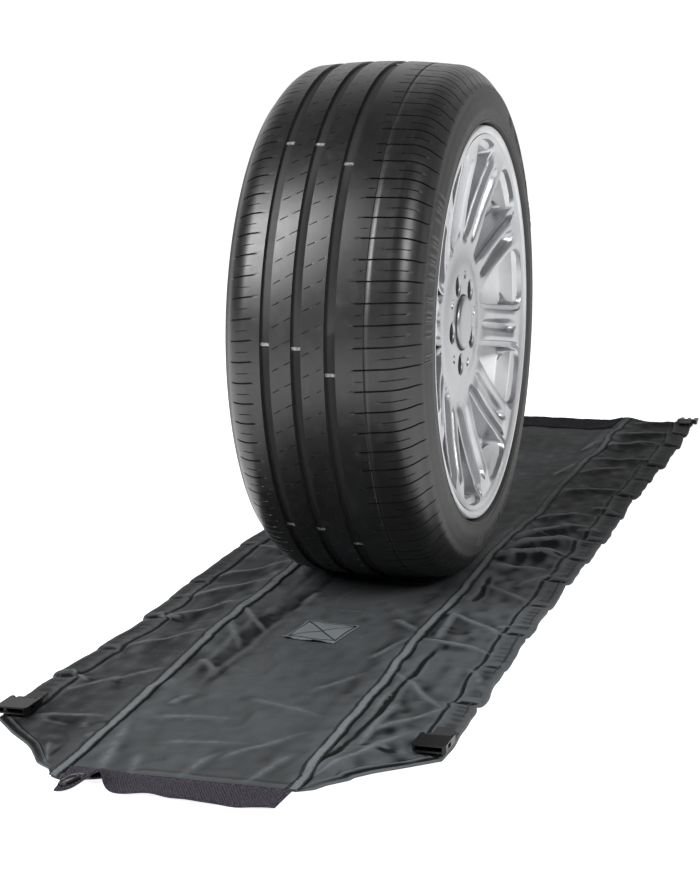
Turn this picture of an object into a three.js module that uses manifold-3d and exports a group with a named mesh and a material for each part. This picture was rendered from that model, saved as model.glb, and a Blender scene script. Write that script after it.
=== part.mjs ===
// A car wheel standing on an opened-out snow sock: the textile cover that is wrapped round a tyre for grip.
// Millimetres, +Z up. The origin is on the floor, straight below the middle of the tyre's contact patch.
// +X points out of the wheel's face, and +Y runs along the sock from its hook strip to its loop strip.

import * as THREE from 'three';
import { mergeVertices } from 'three/addons/utils/BufferGeometryUtils.js';
import Module from 'manifold-3d';

const wasm = await Module();
wasm.setup();

// ---------------------------------------------------------------- driving dimensions

const GAP = 0.3; // clearance between pieces that touch
const TURN_STEPS = 48; // facets round the wheel

// Tyre
const TYRE_RADIUS = 343.3;
const TYRE_HALF_WIDTH = 130;
const TREAD_HALF_WIDTH = 86;
const CROWN_DROP = 4.8;
const TREAD_THICKNESS = 14;
const SIDEWALL_THICKNESS = 9;
const SIDEWALL_RADIUS = 275; // where the section is widest
const GROOVE_DEPTH = 4;
const GROOVES = [[-70, -57], [-30, -17], [12, 26]];

// Alloy wheel
const BEAD_SEAT_RADIUS = 241.3;
const RIM_INSIDE_WIDTH = 228.6;
const FLANGE_THICKNESS = 12.5;
const FLANGE_HEIGHT = 19;
const BARREL_WALL = 7;
const WELL_DEPTH = 20;
const MOUNT_FACE_X = 35;
const HUB_FACE_X = 97;
const PAD_RADIUS = 78;
const BORE_RADIUS = 33.3;
const SPOKE_COUNT = 10;
const SPOKE_ANGLE = -9; // degrees from +Y towards +Z
const SPOKE_WIDTH = 60;
const WINDOW_INNER_RADIUS = 106;
const HUB_RADIUS = 95; // where the spokes are joined to the hub
const BOLT_CIRCLE_RADIUS = 56;
const BOLT_COUNT = 5;
const BOLT_ANGLE = 43;
const BOLT_HOLE_RADIUS = 7.5;
const BOLT_RECESS_RADIUS = 13;
const BOLT_SEAT_X = 62;

// Pieces on the wheel
const CAP_OVERLAP = 2.7; // how far the cap's edge passes the bore
const CAP_PROUD = 5;
const CAP_SKIRT_DEPTH = 15;
const CAP_WALL = 2.4;
const SNAP_WIRE_RADIUS = 1.1;
const RING_WALL = 4.4;
const RING_LENGTH = 12;
const VALVE_ANGLE = 153;
const VALVE_HOLE_RADIUS = 5.8;
const VALVE_STEM_LENGTH = 34;
const VALVE_THREAD_RADIUS = 3.9;
const VALVE_CAP_RADIUS = 5.4;
const VALVE_CORE_RADIUS = 1.2;
const VALVE_CORE_BORE = 1.8;
const WEIGHT_SEGMENTS = 4;
const WEIGHT_PITCH = 16; // along the rim, per segment
const WEIGHT_WIDTH = 19;
const WEIGHT_THICKNESS = 4;

// Sock
const CLOTH = 1.6; // thickness of the coated fabric
const SOCK_NEAR_Y = -858;
const SOCK_FAR_Y = 1165;
const SEAM_X = 122; // from the sock's middle to each seam
const OUTER_X = 250;
const HEM_WIDTH = 30;
const HEM_HEIGHT = 7.6;
const HEM_WALL = 1.4;
const CORNER_Y = -735; // where the slanted near edge meets the hem
const LEFT_FOLD_X = -137;
const RIGHT_FOLD_X = 152;
const FOLD_GAP = 1.1; // from a fold line to the cloth on each side of it
const NEAR_DRIFT = 19.5; // how far the near end lies to the right
const DRIFT_START_Y = -300;
const DRIFT_POWER = 1.4;
const LENGTH_STEP = 70;
const TAPE_WIDTH = 12;
const TAPE_THICKNESS = 2;
const ELASTIC_RADIUS = 2;
const HOOK_STRIP_WIDTH = 54;
const LOOP_STRIP_WIDTH = 93;
const STRIP_THICKNESS = 2.6;
const PATCH_WIDTH = 68;
const PATCH_LENGTH = 82;
const PATCH_THICKNESS = 1;
const PATCH_Y = -328;
const PATCH_TURN = -5; // degrees

// Buckles and their webbing
const WEBBING_WIDTH = 20;
const WEBBING_THICKNESS = 1.2;
const WEBBING_TAIL = 34;
const BUCKLE_X = 233; // from the sock's middle
const BUCKLE_WIDTH = 36;
const BUCKLE_HEIGHT = 8.2;
const BUCKLE_LENGTH = 34; // the socket's shell
const BAR_RADIUS = 2.3;
const EAR_WIDTH = 3.5;
const SOCKET_WIDTH = 29;
const SOCKET_HEIGHT = 4.8;
const SOCKET_DEPTH = 28;
const CATCH_START = 12; // from the mouth to the side window
const CATCH_LENGTH = 11;
const PRONG_WIDTH = 6;
const PRONG_LENGTH = 25;
const ARM_HEIGHT = 4;
const ARM_GAP = 0.4;

// ---------------------------------------------------------------- sizes that follow

const SOLE = CLOTH + GAP; // height of the tyre's lowest point
const AXLE_Z = SOLE + TYRE_RADIUS;
const BEAD_RADIUS = BEAD_SEAT_RADIUS + GAP;
const FLANGE_X = RIM_INSIDE_WIDTH / 2;
const CAP_RADIUS = BORE_RADIUS + CAP_OVERLAP;
const RING_BORE_RADIUS = BORE_RADIUS - GAP - RING_WALL;
const FLANGE_RADIUS = BEAD_SEAT_RADIUS + FLANGE_HEIGHT;
const LIP_X = FLANGE_X + FLANGE_THICKNESS;
const WELL_RADIUS = BEAD_SEAT_RADIUS - WELL_DEPTH;
const HEM_X = OUTER_X - HEM_WIDTH;
const TOP = CLOTH + GAP; // where a layer sewn onto the cloth starts
const WEBBING_RING = BAR_RADIUS + 0.5 + WEBBING_THICKNESS;
const WEBBING_Z = HEM_HEIGHT + GAP;
const BODY_START = WEBBING_RING + 0.5; // from a buckle's bar to its body
const FEMALE_BAR_Y = CORNER_Y + BUCKLE_LENGTH + BODY_START;
const FEMALE_BAR_Z = WEBBING_Z + WEBBING_RING;
const MALE_BAR_Y = SOCK_FAR_Y + WEBBING_RING + 3;
const MALE_BAR_Z = WEBBING_RING + 0.2;
const BASE_LENGTH = 9;

// ---------------------------------------------------------------- geometry helpers

const radians = (degrees) => (degrees * Math.PI) / 180;

// Shared vertices merged and empty triangles dropped, leaving only positions.
function weld(geometry) {
  const bare = geometry.clone();
  bare.deleteAttribute('normal');
  bare.deleteAttribute('uv');
  const merged = mergeVertices(bare, 1e-3);
  const source = merged.index.array;
  const kept = [];
  for (let i = 0; i < source.length; i += 3) {
    const [a, b, c] = [source[i], source[i + 1], source[i + 2]];
    if (a !== b && b !== c && c !== a) kept.push(a, b, c);
  }
  merged.setIndex(kept);
  return merged;
}

function signedVolume(geometry) {
  const position = geometry.attributes.position;
  const index = geometry.index.array;
  const corner = [0, 1, 2].map(() => new THREE.Vector3());
  let volume = 0;
  for (let i = 0; i < index.length; i += 3) {
    corner.forEach((point, k) => point.fromBufferAttribute(position, index[i + k]));
    volume += corner[0].dot(corner[1].clone().cross(corner[2])) / 6;
  }
  return volume;
}

// Welded, with its faces turned outwards.
function outward(geometry) {
  const welded = weld(geometry);
  if (signedVolume(welded) < 0) {
    const index = welded.index.array;
    for (let i = 0; i < index.length; i += 3) {
      [index[i + 1], index[i + 2]] = [index[i + 2], index[i + 1]];
    }
  }
  return welded;
}

function toSolid(geometry) {
  const closed = outward(geometry);
  return new wasm.Manifold(new wasm.Mesh({
    numProp: 3,
    vertProperties: new Float32Array(closed.attributes.position.array),
    triVerts: new Uint32Array(closed.index.array),
  }));
}

function fromSolid(solid) {
  const mesh = solid.getMesh();
  const geometry = new THREE.BufferGeometry();
  geometry.setAttribute('position', new THREE.BufferAttribute(mesh.vertProperties, 3));
  geometry.setIndex(Array.from(mesh.triVerts));
  return geometry;
}

function combine(base, { add = [], cut = [] }) {
  let solid = toSolid(base);
  for (const piece of add) solid = solid.add(toSolid(piece));
  for (const piece of cut) solid = solid.subtract(toSolid(piece));
  return fromSolid(solid);
}

// A closed outline of [x, radius] points turned about the X axis.
function turnedX(profile, steps = TURN_STEPS) {
  const points = [...profile, profile[0]].map(([x, radius]) => new THREE.Vector2(radius, x));
  return outward(new THREE.LatheGeometry(points, steps).rotateZ(-Math.PI / 2));
}

// An outline of [x, y] points raised from z = low to z = high.
function slab(points, low, high) {
  const shape = new THREE.Shape(points.map(([x, y]) => new THREE.Vector2(x, y)));
  const geometry = new THREE.ExtrudeGeometry(shape, { depth: high - low, bevelEnabled: false });
  return outward(geometry.translate(0, 0, low));
}

// An outline of [y, z] points carried along X.
function slabX(points, from, to) {
  const geometry = slab(points, 0, to - from);
  return geometry.applyMatrix4(new THREE.Matrix4().set(
    0, 0, 1, from,
    1, 0, 0, 0,
    0, 1, 0, 0,
    0, 0, 0, 1,
  ));
}

function block([x0, y0, z0], [x1, y1, z1]) {
  return slab([[x0, y0], [x1, y0], [x1, y1], [x0, y1]], z0, z1);
}

// A rod along X.
function rodX(radius, from, to, y, z, sides = 16) {
  const rod = new THREE.CylinderGeometry(radius, radius, to - from, sides).rotateZ(Math.PI / 2);
  return outward(rod.translate((from + to) / 2, y, z));
}

// ---------------------------------------------------------------- tyre

function quarterEllipse(centreX, centreR, halfX, halfR, steps, fromDegrees, toDegrees) {
  return Array.from({ length: steps + 1 }, (_, i) => {
    const angle = radians(fromDegrees + ((toDegrees - fromDegrees) * i) / steps);
    return [centreX + halfX * Math.sin(angle), centreR + halfR * Math.cos(angle)];
  });
}

function crownRadius(x) {
  return TYRE_RADIUS - CROWN_DROP * (x / TREAD_HALF_WIDTH) ** 2;
}

function treadProfile() {
  const points = [];
  for (const [start, end] of GROOVES) {
    points.push([start, crownRadius(start)], [start + 1.5, crownRadius(start) - GROOVE_DEPTH]);
    points.push([end - 1.5, crownRadius(end) - GROOVE_DEPTH], [end, crownRadius(end)]);
  }
  points.push([TREAD_HALF_WIDTH * 0.6, crownRadius(TREAD_HALF_WIDTH * 0.6)]);
  return points;
}

function tyreGeometry() {
  const shoulderR = crownRadius(TREAD_HALF_WIDTH) - SIDEWALL_RADIUS;
  const shoulderX = TYRE_HALF_WIDTH - TREAD_HALF_WIDTH;
  const shoulder = quarterEllipse(TREAD_HALF_WIDTH, SIDEWALL_RADIUS, shoulderX, shoulderR, 4, 0, 90);
  const heel = FLANGE_X - 2 * GAP;
  const bead = [
    [TYRE_HALF_WIDTH - 2, FLANGE_RADIUS + 4],
    [FLANGE_X + 4, FLANGE_RADIUS + 2],
    [heel, FLANGE_RADIUS - 4],
    [heel, BEAD_RADIUS],
    [heel - 20, BEAD_RADIUS],
  ];
  const outerRight = [...shoulder, ...bead];
  const outerLeft = outerRight.map(([x, radius]) => [-x, radius]).reverse();
  const innerTop = TYRE_RADIUS - TREAD_THICKNESS;
  const innerWall = TYRE_HALF_WIDTH - SIDEWALL_THICKNESS;
  const innerRight = [
    [heel - 20, BEAD_RADIUS + 8],
    [heel - 9, FLANGE_RADIUS],
    [innerWall, SIDEWALL_RADIUS],
    [innerWall - 6, SIDEWALL_RADIUS + 26],
    [innerWall - 26, innerTop - 14],
    [TREAD_HALF_WIDTH - 20, innerTop - 3],
    [0, innerTop],
  ];
  const innerLeft = innerRight.slice(0, -1).map(([x, radius]) => [-x, radius]).reverse();
  return turnedX([...outerLeft, ...treadProfile(), ...outerRight, ...innerRight, ...innerLeft]);
}

// ---------------------------------------------------------------- alloy wheel

// The front of the barrel's inner wall, where the spokes end. "clear" moves it towards the axle.
function faceSeat(clear = 0) {
  const seatEnd = FLANGE_X - 24;
  const wellEdge = seatEnd - WELL_DEPTH - 3;
  const wellInside = WELL_RADIUS - BARREL_WALL;
  const barrelRadius = BEAD_SEAT_RADIUS - BARREL_WALL;
  return [
    [wellEdge - 7, wellInside],
    [wellEdge + 4, wellInside + 2],
    [seatEnd + 2, barrelRadius],
    [FLANGE_X - 2, barrelRadius + 0.5],
  ].map(([x, radius]) => [x, radius - clear]);
}

function rimProfile() {
  const tyreSide = [
    [LIP_X, FLANGE_RADIUS - 8],
    [LIP_X, FLANGE_RADIUS - 1.5],
    [FLANGE_X + 6.5, FLANGE_RADIUS],
    [FLANGE_X + 2, FLANGE_RADIUS - 2],
    [FLANGE_X, FLANGE_RADIUS - 6],
    [FLANGE_X, BEAD_SEAT_RADIUS],
  ];
  const seatEnd = FLANGE_X - 24;
  const wellEdge = seatEnd - WELL_DEPTH - 3;
  const barrelRadius = BEAD_SEAT_RADIUS - BARREL_WALL;
  const barrel = [
    [-LIP_X + 5, FLANGE_RADIUS - 13],
    [-FLANGE_X, barrelRadius],
    [-seatEnd, barrelRadius],
    [-wellEdge, WELL_RADIUS - BARREL_WALL],
    ...faceSeat(),
    [LIP_X - 5, FLANGE_RADIUS - 13],
  ];
  return [
    ...tyreSide,
    [seatEnd, BEAD_SEAT_RADIUS],
    [wellEdge, WELL_RADIUS],
    [-wellEdge + 6, WELL_RADIUS],
    [-seatEnd, BEAD_SEAT_RADIUS],
    ...tyreSide.map(([x, radius]) => [-x, radius]).reverse(),
    ...barrel,
  ];
}

function discProfile() {
  return [
    [MOUNT_FACE_X, BORE_RADIUS],
    [HUB_FACE_X, BORE_RADIUS],
    [HUB_FACE_X, PAD_RADIUS],
    [HUB_FACE_X - 2, 112],
    [HUB_FACE_X + 2, 160],
    [HUB_FACE_X + 11, 205],
    [FLANGE_X + 1, 232],
    [FLANGE_X - 2, BEAD_SEAT_RADIUS - 3],
    [FLANGE_X - 24, BEAD_SEAT_RADIUS - 3],
    [HUB_FACE_X - 16, WELL_RADIUS - 2],
    [HUB_FACE_X - 27, 190],
    [HUB_FACE_X - 37, 150],
    [HUB_FACE_X - 45, 112],
    [MOUNT_FACE_X + 5, PAD_RADIUS + 3],
    [MOUNT_FACE_X, PAD_RADIUS],
  ];
}

// Turns a geometry drawn about +Y in the wheel's plane to an angle measured from +Y towards +Z.
const aroundWheel = (geometry, degrees) => geometry.rotateX(radians(degrees));

// The space between two spokes: its width is what the spokes leave of the circle.
function windowCutter() {
  const halfWidth = (radius) => (Math.PI * radius) / SPOKE_COUNT - SPOKE_WIDTH / 2;
  const sides = [0.08, 0.35, 0.7, 1.05].map((share) => {
    const radius = WINDOW_INNER_RADIUS + (BEAD_SEAT_RADIUS - WINDOW_INNER_RADIUS) * share;
    return [radius, Math.max(halfWidth(radius), 4)];
  });
  const left = sides.map(([radius, across]) => [radius, -across]).reverse();
  return slabX([[WINDOW_INNER_RADIUS, 0], ...sides, ...left], MOUNT_FACE_X, LIP_X);
}

function valvePlace(geometry) {
  const wallX = FLANGE_X - 24 - WELL_DEPTH / 2 - 1;
  const wallRadius = BEAD_SEAT_RADIUS - BARREL_WALL - WELL_DEPTH / 2;
  geometry.rotateX(Math.PI); // drawn along +Y, it now points to the axle
  geometry.rotateZ(radians(45));
  geometry.translate(wallX, wallRadius, 0);
  return aroundWheel(geometry, VALVE_ANGLE);
}

// A profile of [along, radius] points turned about the valve's own axis.
function valvePiece(profile, sides = 14) {
  const points = [...profile, profile[0]].map(([along, radius]) => new THREE.Vector2(radius, along));
  return outward(valvePlace(new THREE.LatheGeometry(points, sides)));
}

// The rim that carries the tyre, with the valve's hole through its front wall.
function wheelBarrelGeometry() {
  const hole = valvePiece([[-25, 0], [-25, VALVE_HOLE_RADIUS], [20, VALVE_HOLE_RADIUS], [20, 0]]);
  return combine(turnedX(rimProfile()), { cut: [hole] });
}

// The part of the disc inside the hub's radius, with the bore and the bolt holes.
function wheelHubGeometry() {
  const inside = toSolid(turnedX([[0, 0], [LIP_X, 0], [LIP_X, HUB_RADIUS], [0, HUB_RADIUS]]));
  let hub = toSolid(turnedX(discProfile())).intersect(inside);
  for (let i = 0; i < BOLT_COUNT; i++) {
    const angle = BOLT_ANGLE + (360 / BOLT_COUNT) * i;
    const hole = rodX(BOLT_HOLE_RADIUS, MOUNT_FACE_X - 5, HUB_FACE_X + 5, BOLT_CIRCLE_RADIUS, 0);
    const recess = rodX(BOLT_RECESS_RADIUS, BOLT_SEAT_X, HUB_FACE_X + 5, BOLT_CIRCLE_RADIUS, 0);
    for (const cut of [hole, recess]) hub = hub.subtract(toSolid(aroundWheel(cut, angle)));
  }
  return fromSolid(hub);
}

// The ten spokes and the ring that joins them round the hub, kept clear of the barrel.
function wheelSpokesGeometry() {
  const seat = faceSeat(GAP);
  const inner = HUB_RADIUS + GAP;
  const room = turnedX([[0, inner], [0, seat[0][1]], ...seat, [LIP_X, seat.at(-1)[1]], [LIP_X, inner]]);
  let spokes = toSolid(turnedX(discProfile())).intersect(toSolid(room));
  for (let i = 0; i < SPOKE_COUNT; i++) {
    const middle = SPOKE_ANGLE + (360 / SPOKE_COUNT) * (i + 0.5);
    spokes = spokes.subtract(toSolid(aroundWheel(windowCutter(), middle)));
  }
  return fromSolid(spokes);
}

function centreCapGeometry() {
  const skirt = BORE_RADIUS - 2 * GAP;
  const face = HUB_FACE_X + GAP;
  return turnedX([
    [face + CAP_PROUD, 0],
    [face + CAP_PROUD, CAP_RADIUS - 3],
    [face + CAP_PROUD - 2, CAP_RADIUS],
    [face, CAP_RADIUS],
    [face, skirt],
    [face - CAP_SKIRT_DEPTH, skirt],
    [face - CAP_SKIRT_DEPTH, skirt - CAP_WALL],
    [face + CAP_PROUD - CAP_WALL, skirt - CAP_WALL],
    [face + CAP_PROUD - CAP_WALL, 0],
  ], TURN_STEPS / 2);
}

function snapRingGeometry() {
  const radius = BORE_RADIUS - 2 * GAP - CAP_WALL - GAP - SNAP_WIRE_RADIUS;
  const ring = new THREE.TorusGeometry(radius - GAP, SNAP_WIRE_RADIUS, 6, 32).rotateY(Math.PI / 2);
  return outward(ring.translate(HUB_FACE_X - CAP_SKIRT_DEPTH + 5, 0, 0));
}

function centringRingGeometry() {
  const outer = BORE_RADIUS - 2 * GAP;
  return turnedX([
    [MOUNT_FACE_X + 0.5, RING_BORE_RADIUS],
    [MOUNT_FACE_X + RING_LENGTH, RING_BORE_RADIUS],
    [MOUNT_FACE_X + RING_LENGTH, outer],
    [MOUNT_FACE_X + 0.5, outer],
  ], TURN_STEPS / 2);
}

// ---------------------------------------------------------------- valve and balance weights

const STEM_SEAT = BARREL_WALL + 3.5; // from the wall's inner face to the stem's flange in the tyre

function valveStemGeometry() {
  const neck = VALVE_HOLE_RADIUS - GAP;
  return valvePiece([
    [-STEM_SEAT - 4, VALVE_CORE_BORE],
    [-STEM_SEAT - 4, 7],
    [-STEM_SEAT, 8],
    [-STEM_SEAT, neck],
    [18, neck],
    [20, VALVE_THREAD_RADIUS],
    [VALVE_STEM_LENGTH, VALVE_THREAD_RADIUS],
    [VALVE_STEM_LENGTH, VALVE_CORE_BORE],
  ]);
}

function valveCoreGeometry() {
  const low = VALVE_STEM_LENGTH - 16;
  return valvePiece([[low, 0], [low, VALVE_CORE_RADIUS], [VALVE_STEM_LENGTH - 1, VALVE_CORE_RADIUS],
    [VALVE_STEM_LENGTH - 1, 0]], 10);
}

function valveCapGeometry() {
  const low = VALVE_STEM_LENGTH - 9;
  const inside = VALVE_THREAD_RADIUS + GAP;
  return valvePiece([
    [low, inside],
    [low, VALVE_CAP_RADIUS],
    [VALVE_STEM_LENGTH + 2, VALVE_CAP_RADIUS],
    [VALVE_STEM_LENGTH + 3, VALVE_CAP_RADIUS - 1],
    [VALVE_STEM_LENGTH + 3, 0],
    [VALVE_STEM_LENGTH + 1, 0],
    [VALVE_STEM_LENGTH + 1, inside],
  ]);
}

// A strip of stick-on weights: flat blocks joined by a thin backing, bent round the barrel.
function balanceWeightGeometry(x, startDegrees) {
  const outer = (WELL_RADIUS - BARREL_WALL) * Math.cos(Math.PI / TURN_STEPS) - 2 * GAP;
  const pitch = WEIGHT_PITCH / outer;
  const at = (radius, angle) => [radius * Math.cos(angle), radius * Math.sin(angle)];
  const back = [];
  const front = [];
  for (let i = 0; i < WEIGHT_SEGMENTS; i++) {
    const [start, end] = [i * pitch, (i + 1) * pitch];
    const notch = pitch * 0.06;
    back.push(at(outer, start));
    front.push(at(outer - 1, start), at(outer - WEIGHT_THICKNESS, start + notch));
    front.push(at(outer - WEIGHT_THICKNESS, end - notch));
  }
  const last = WEIGHT_SEGMENTS * pitch;
  back.push(at(outer, last));
  front.push(at(outer - 1, last));
  return aroundWheel(slabX([...back, ...front.reverse()], x, x + WEIGHT_WIDTH), startDegrees);
}

// ---------------------------------------------------------------- sock

// The near end of the sock lies a little to the right of its middle line.
function drift(y) {
  const share = Math.max(0, (DRIFT_START_Y - y) / (DRIFT_START_Y - SOCK_NEAR_Y));
  return NEAR_DRIFT * share ** DRIFT_POWER;
}

// Points along the sock at a distance from its middle, from one end to the other.
function run(offset, from = SOCK_NEAR_Y, to = SOCK_FAR_Y) {
  const steps = Math.ceil(Math.abs(to - from) / LENGTH_STEP);
  return Array.from({ length: steps + 1 }, (_, i) => {
    const y = from + ((to - from) * i) / steps;
    return [offset + drift(y), y];
  });
}

// A flat ribbon between two offsets from the sock's middle, with a ring of corners at each point of its run.
function band(inner, outer, low, high) {
  const [near, far] = [run(inner), run(outer)];
  const corners = near.flatMap(([x, y], i) => [x, y, low, far[i][0], y, low, far[i][0], y, high, x, y, high]);
  const last = 4 * (near.length - 1);
  const index = [0, 1, 2, 0, 2, 3, last, last + 2, last + 1, last, last + 3, last + 2];
  for (let ring = 0; ring < last; ring += 4) {
    for (let k = 0; k < 4; k++) {
      const [a, b] = [ring + k, ring + ((k + 1) % 4)];
      index.push(a, b + 4, b, a, a + 4, b + 4);
    }
  }
  const geometry = new THREE.BufferGeometry();
  geometry.setAttribute('position', new THREE.Float32BufferAttribute(corners, 3));
  geometry.setIndex(index);
  return outward(geometry);
}

function centrePanelGeometry() {
  const half = SEAM_X - GAP / 2;
  return slab([...run(-half), ...run(half, SOCK_FAR_Y, SOCK_NEAR_Y)], 0, CLOTH);
}

const foldLine = (side) => (side < 0 ? LEFT_FOLD_X : RIGHT_FOLD_X);

// The cloth between a seam and the straight line where the side panel folds.
function marginGeometry(side) {
  const fold = foldLine(side) - side * FOLD_GAP;
  const seam = run(side * (SEAM_X + GAP / 2));
  return slab([...seam, [fold, SOCK_FAR_Y], [fold, SOCK_NEAR_Y + 6]], 0, CLOTH);
}

function sidePanelGeometry(side) {
  const fold = foldLine(side) + side * FOLD_GAP;
  const hem = side * (HEM_X - GAP);
  return slab([[fold, SOCK_FAR_Y], [fold, SOCK_NEAR_Y + 8], ...run(hem, CORNER_Y, SOCK_FAR_Y)], 0, CLOTH);
}

function seamTapeGeometry(side) {
  const [inner, outer] = [SEAM_X - TAPE_WIDTH / 2, SEAM_X + TAPE_WIDTH / 2];
  return band(side * inner, side * outer, TOP, TOP + TAPE_THICKNESS);
}

// A flat tube along the outer edge, open at both ends.
function hemChannelGeometry(side) {
  const section = (width, height, chamfer) => [
    [-width / 2, -height / 2 + chamfer], [-width / 2 + chamfer, -height / 2],
    [width / 2 - chamfer, -height / 2], [width / 2, -height / 2 + chamfer],
    [width / 2, height / 2 - chamfer], [width / 2 - chamfer, height / 2],
    [-width / 2 + chamfer, height / 2], [-width / 2, height / 2 - chamfer],
  ];
  const shape = new THREE.Shape(section(HEM_WIDTH, HEM_HEIGHT, 2).map(([x, z]) => new THREE.Vector2(x, z)));
  const hollow = section(HEM_WIDTH - 2 * HEM_WALL, HEM_HEIGHT - 2 * HEM_WALL, 1);
  shape.holes.push(new THREE.Path(hollow.map(([x, z]) => new THREE.Vector2(x, z))));
  return alongHem(shape, side, OUTER_X - HEM_WIDTH / 2, CORNER_Y, SOCK_FAR_Y, HEM_HEIGHT / 2);
}

// Carries a section along Y, then shifts each ring sideways with the sock's drift.
function alongHem(shape, side, offset, from, to, height) {
  const steps = Math.ceil((to - from) / (2 * LENGTH_STEP));
  const geometry = new THREE.ExtrudeGeometry(shape, { depth: to - from, steps, bevelEnabled: false });
  geometry.rotateX(-Math.PI / 2).translate(side * offset, from, height);
  const position = geometry.attributes.position;
  for (let i = 0; i < position.count; i++) {
    position.setX(i, position.getX(i) + drift(position.getY(i)));
  }
  return outward(geometry);
}

// The elastic lies in the channel's outer half, with its ends just inside the channel's mouths.
function elasticCordGeometry(side) {
  const shape = new THREE.Shape();
  shape.absarc(0, 0, ELASTIC_RADIUS, 0, 2 * Math.PI);
  const circle = new THREE.Shape(shape.getPoints(2));
  const offset = OUTER_X - HEM_WALL - ELASTIC_RADIUS - 2;
  return alongHem(circle, side, offset, CORNER_Y + 4, SOCK_FAR_Y - 4, HEM_HEIGHT / 2);
}

function hookStripGeometry() {
  const [left, right] = [-SEAM_X + 3, SEAM_X - 1].map((x) => x + NEAR_DRIFT);
  const back = SOCK_NEAR_Y - FOLD_GAP;
  return block([left, back - HOOK_STRIP_WIDTH, 0], [right, back, STRIP_THICKNESS]);
}

function loopStripGeometry() {
  const edge = SEAM_X - TAPE_WIDTH / 2 - 4;
  const high = SOCK_FAR_Y - 2;
  return block([-edge, high - LOOP_STRIP_WIDTH, TOP], [edge, high, TOP + STRIP_THICKNESS]);
}

function patchGeometry() {
  const [halfX, halfY] = [PATCH_WIDTH / 2, PATCH_LENGTH / 2];
  const patch = block([-halfX, -halfY, TOP], [halfX, halfY, TOP + PATCH_THICKNESS]);
  return patch.rotateZ(radians(PATCH_TURN)).translate(0, PATCH_Y, 0);
}

// ---------------------------------------------------------------- buckles, drawn with the bar at the origin

// The ears that hold a buckle's bar, and the bar.
function barAndEars(reach) {
  const pieces = [rodX(BAR_RADIUS, -BUCKLE_WIDTH / 2 + 1, BUCKLE_WIDTH / 2 - 1, 0, 0, 12)];
  for (const side of [-1, 1]) {
    const outer = (side * BUCKLE_WIDTH) / 2;
    const inner = outer - side * EAR_WIDTH;
    const [low, high] = [Math.min(outer, inner), Math.max(outer, inner)];
    const half = BUCKLE_HEIGHT / 2 - 0.2;
    pieces.push(rodX(half, low, high, 0, 0, 16), block([low, -reach, -half], [high, 0, half]));
  }
  return pieces;
}

// The socket half points along -Y from its bar.
function femaleBuckleGeometry() {
  const mouth = -BODY_START - BUCKLE_LENGTH;
  const half = BUCKLE_HEIGHT / 2;
  const body = slab([
    [-BUCKLE_WIDTH / 2, -BODY_START], [-BUCKLE_WIDTH / 2, mouth + 4], [-BUCKLE_WIDTH / 2 + 3, mouth],
    [BUCKLE_WIDTH / 2 - 3, mouth], [BUCKLE_WIDTH / 2, mouth + 4], [BUCKLE_WIDTH / 2, -BODY_START],
  ], -half, half);
  const socket = block([-SOCKET_WIDTH / 2, mouth - 1, -SOCKET_HEIGHT / 2],
    [SOCKET_WIDTH / 2, mouth + SOCKET_DEPTH, SOCKET_HEIGHT / 2]);
  const catches = block([-BUCKLE_WIDTH, mouth + CATCH_START, -SOCKET_HEIGHT / 2],
    [BUCKLE_WIDTH, mouth + CATCH_START + CATCH_LENGTH, SOCKET_HEIGHT / 2]);
  return combine(body, { add: barAndEars(BODY_START + 1), cut: [socket, catches] });
}

// The plug half's base points along -Y from its bar, with the prong between its two arms.
function maleBaseGeometry() {
  const half = BUCKLE_HEIGHT / 2;
  const front = -BODY_START - BASE_LENGTH;
  const body = block([-BUCKLE_WIDTH / 2, front, -half], [BUCKLE_WIDTH / 2, -BODY_START, half]);
  const prong = slab([
    [-PRONG_WIDTH / 2, front + 1], [-PRONG_WIDTH / 2, front - PRONG_LENGTH + 3], [0, front - PRONG_LENGTH],
    [PRONG_WIDTH / 2, front - PRONG_LENGTH + 3], [PRONG_WIDTH / 2, front + 1],
  ], -ARM_HEIGHT / 2, ARM_HEIGHT / 2);
  return combine(body, { add: [...barAndEars(BODY_START + 1), prong] });
}

// One springy arm: a slim root, then the catch that the fingers squeeze.
function maleArmGeometry(side) {
  const root = -BODY_START - BASE_LENGTH - ARM_GAP;
  const outline = [
    [7, 0], [11, 0], [12, -10], [16.6, -13], [17, -20], [14, -24], [10.5, -25], [9.5, -22], [8.6, -12],
  ].map(([x, y]) => [side * x, root + y]);
  return slab(outline, -ARM_HEIGHT / 2, ARM_HEIGHT / 2);
}

// A strap sewn flat on the hem, with its fold closed round a buckle's bar.
// "out" is +1 where the strap leaves towards +Y and -1 towards -Y.
function webbingGeometry(out, barY, barZ) {
  const half = WEBBING_WIDTH / 2;
  const high = WEBBING_Z + 2 * WEBBING_THICKNESS;
  const tailEnd = barY - out * (WEBBING_TAIL + WEBBING_RING);
  const hemEdge = barY - out * (WEBBING_RING + 2);
  const neckStart = hemEdge - out * 0.5;
  const tail = slabX([
    [tailEnd, WEBBING_Z], [hemEdge, WEBBING_Z], [hemEdge, high], [tailEnd, high],
  ], -half, half);
  const neck = slabX([
    [neckStart, WEBBING_Z], [barY, barZ - 1], [barY, barZ + WEBBING_RING - 0.4], [neckStart, high],
  ], -half, half);
  const ring = rodX(WEBBING_RING, -half, half, barY, barZ, 20);
  const hole = rodX(BAR_RADIUS + 0.5, -half - 1, half + 1, barY, barZ, 16);
  return combine(tail, { add: [neck, ring], cut: [hole] });
}

// ---------------------------------------------------------------- materials

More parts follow.
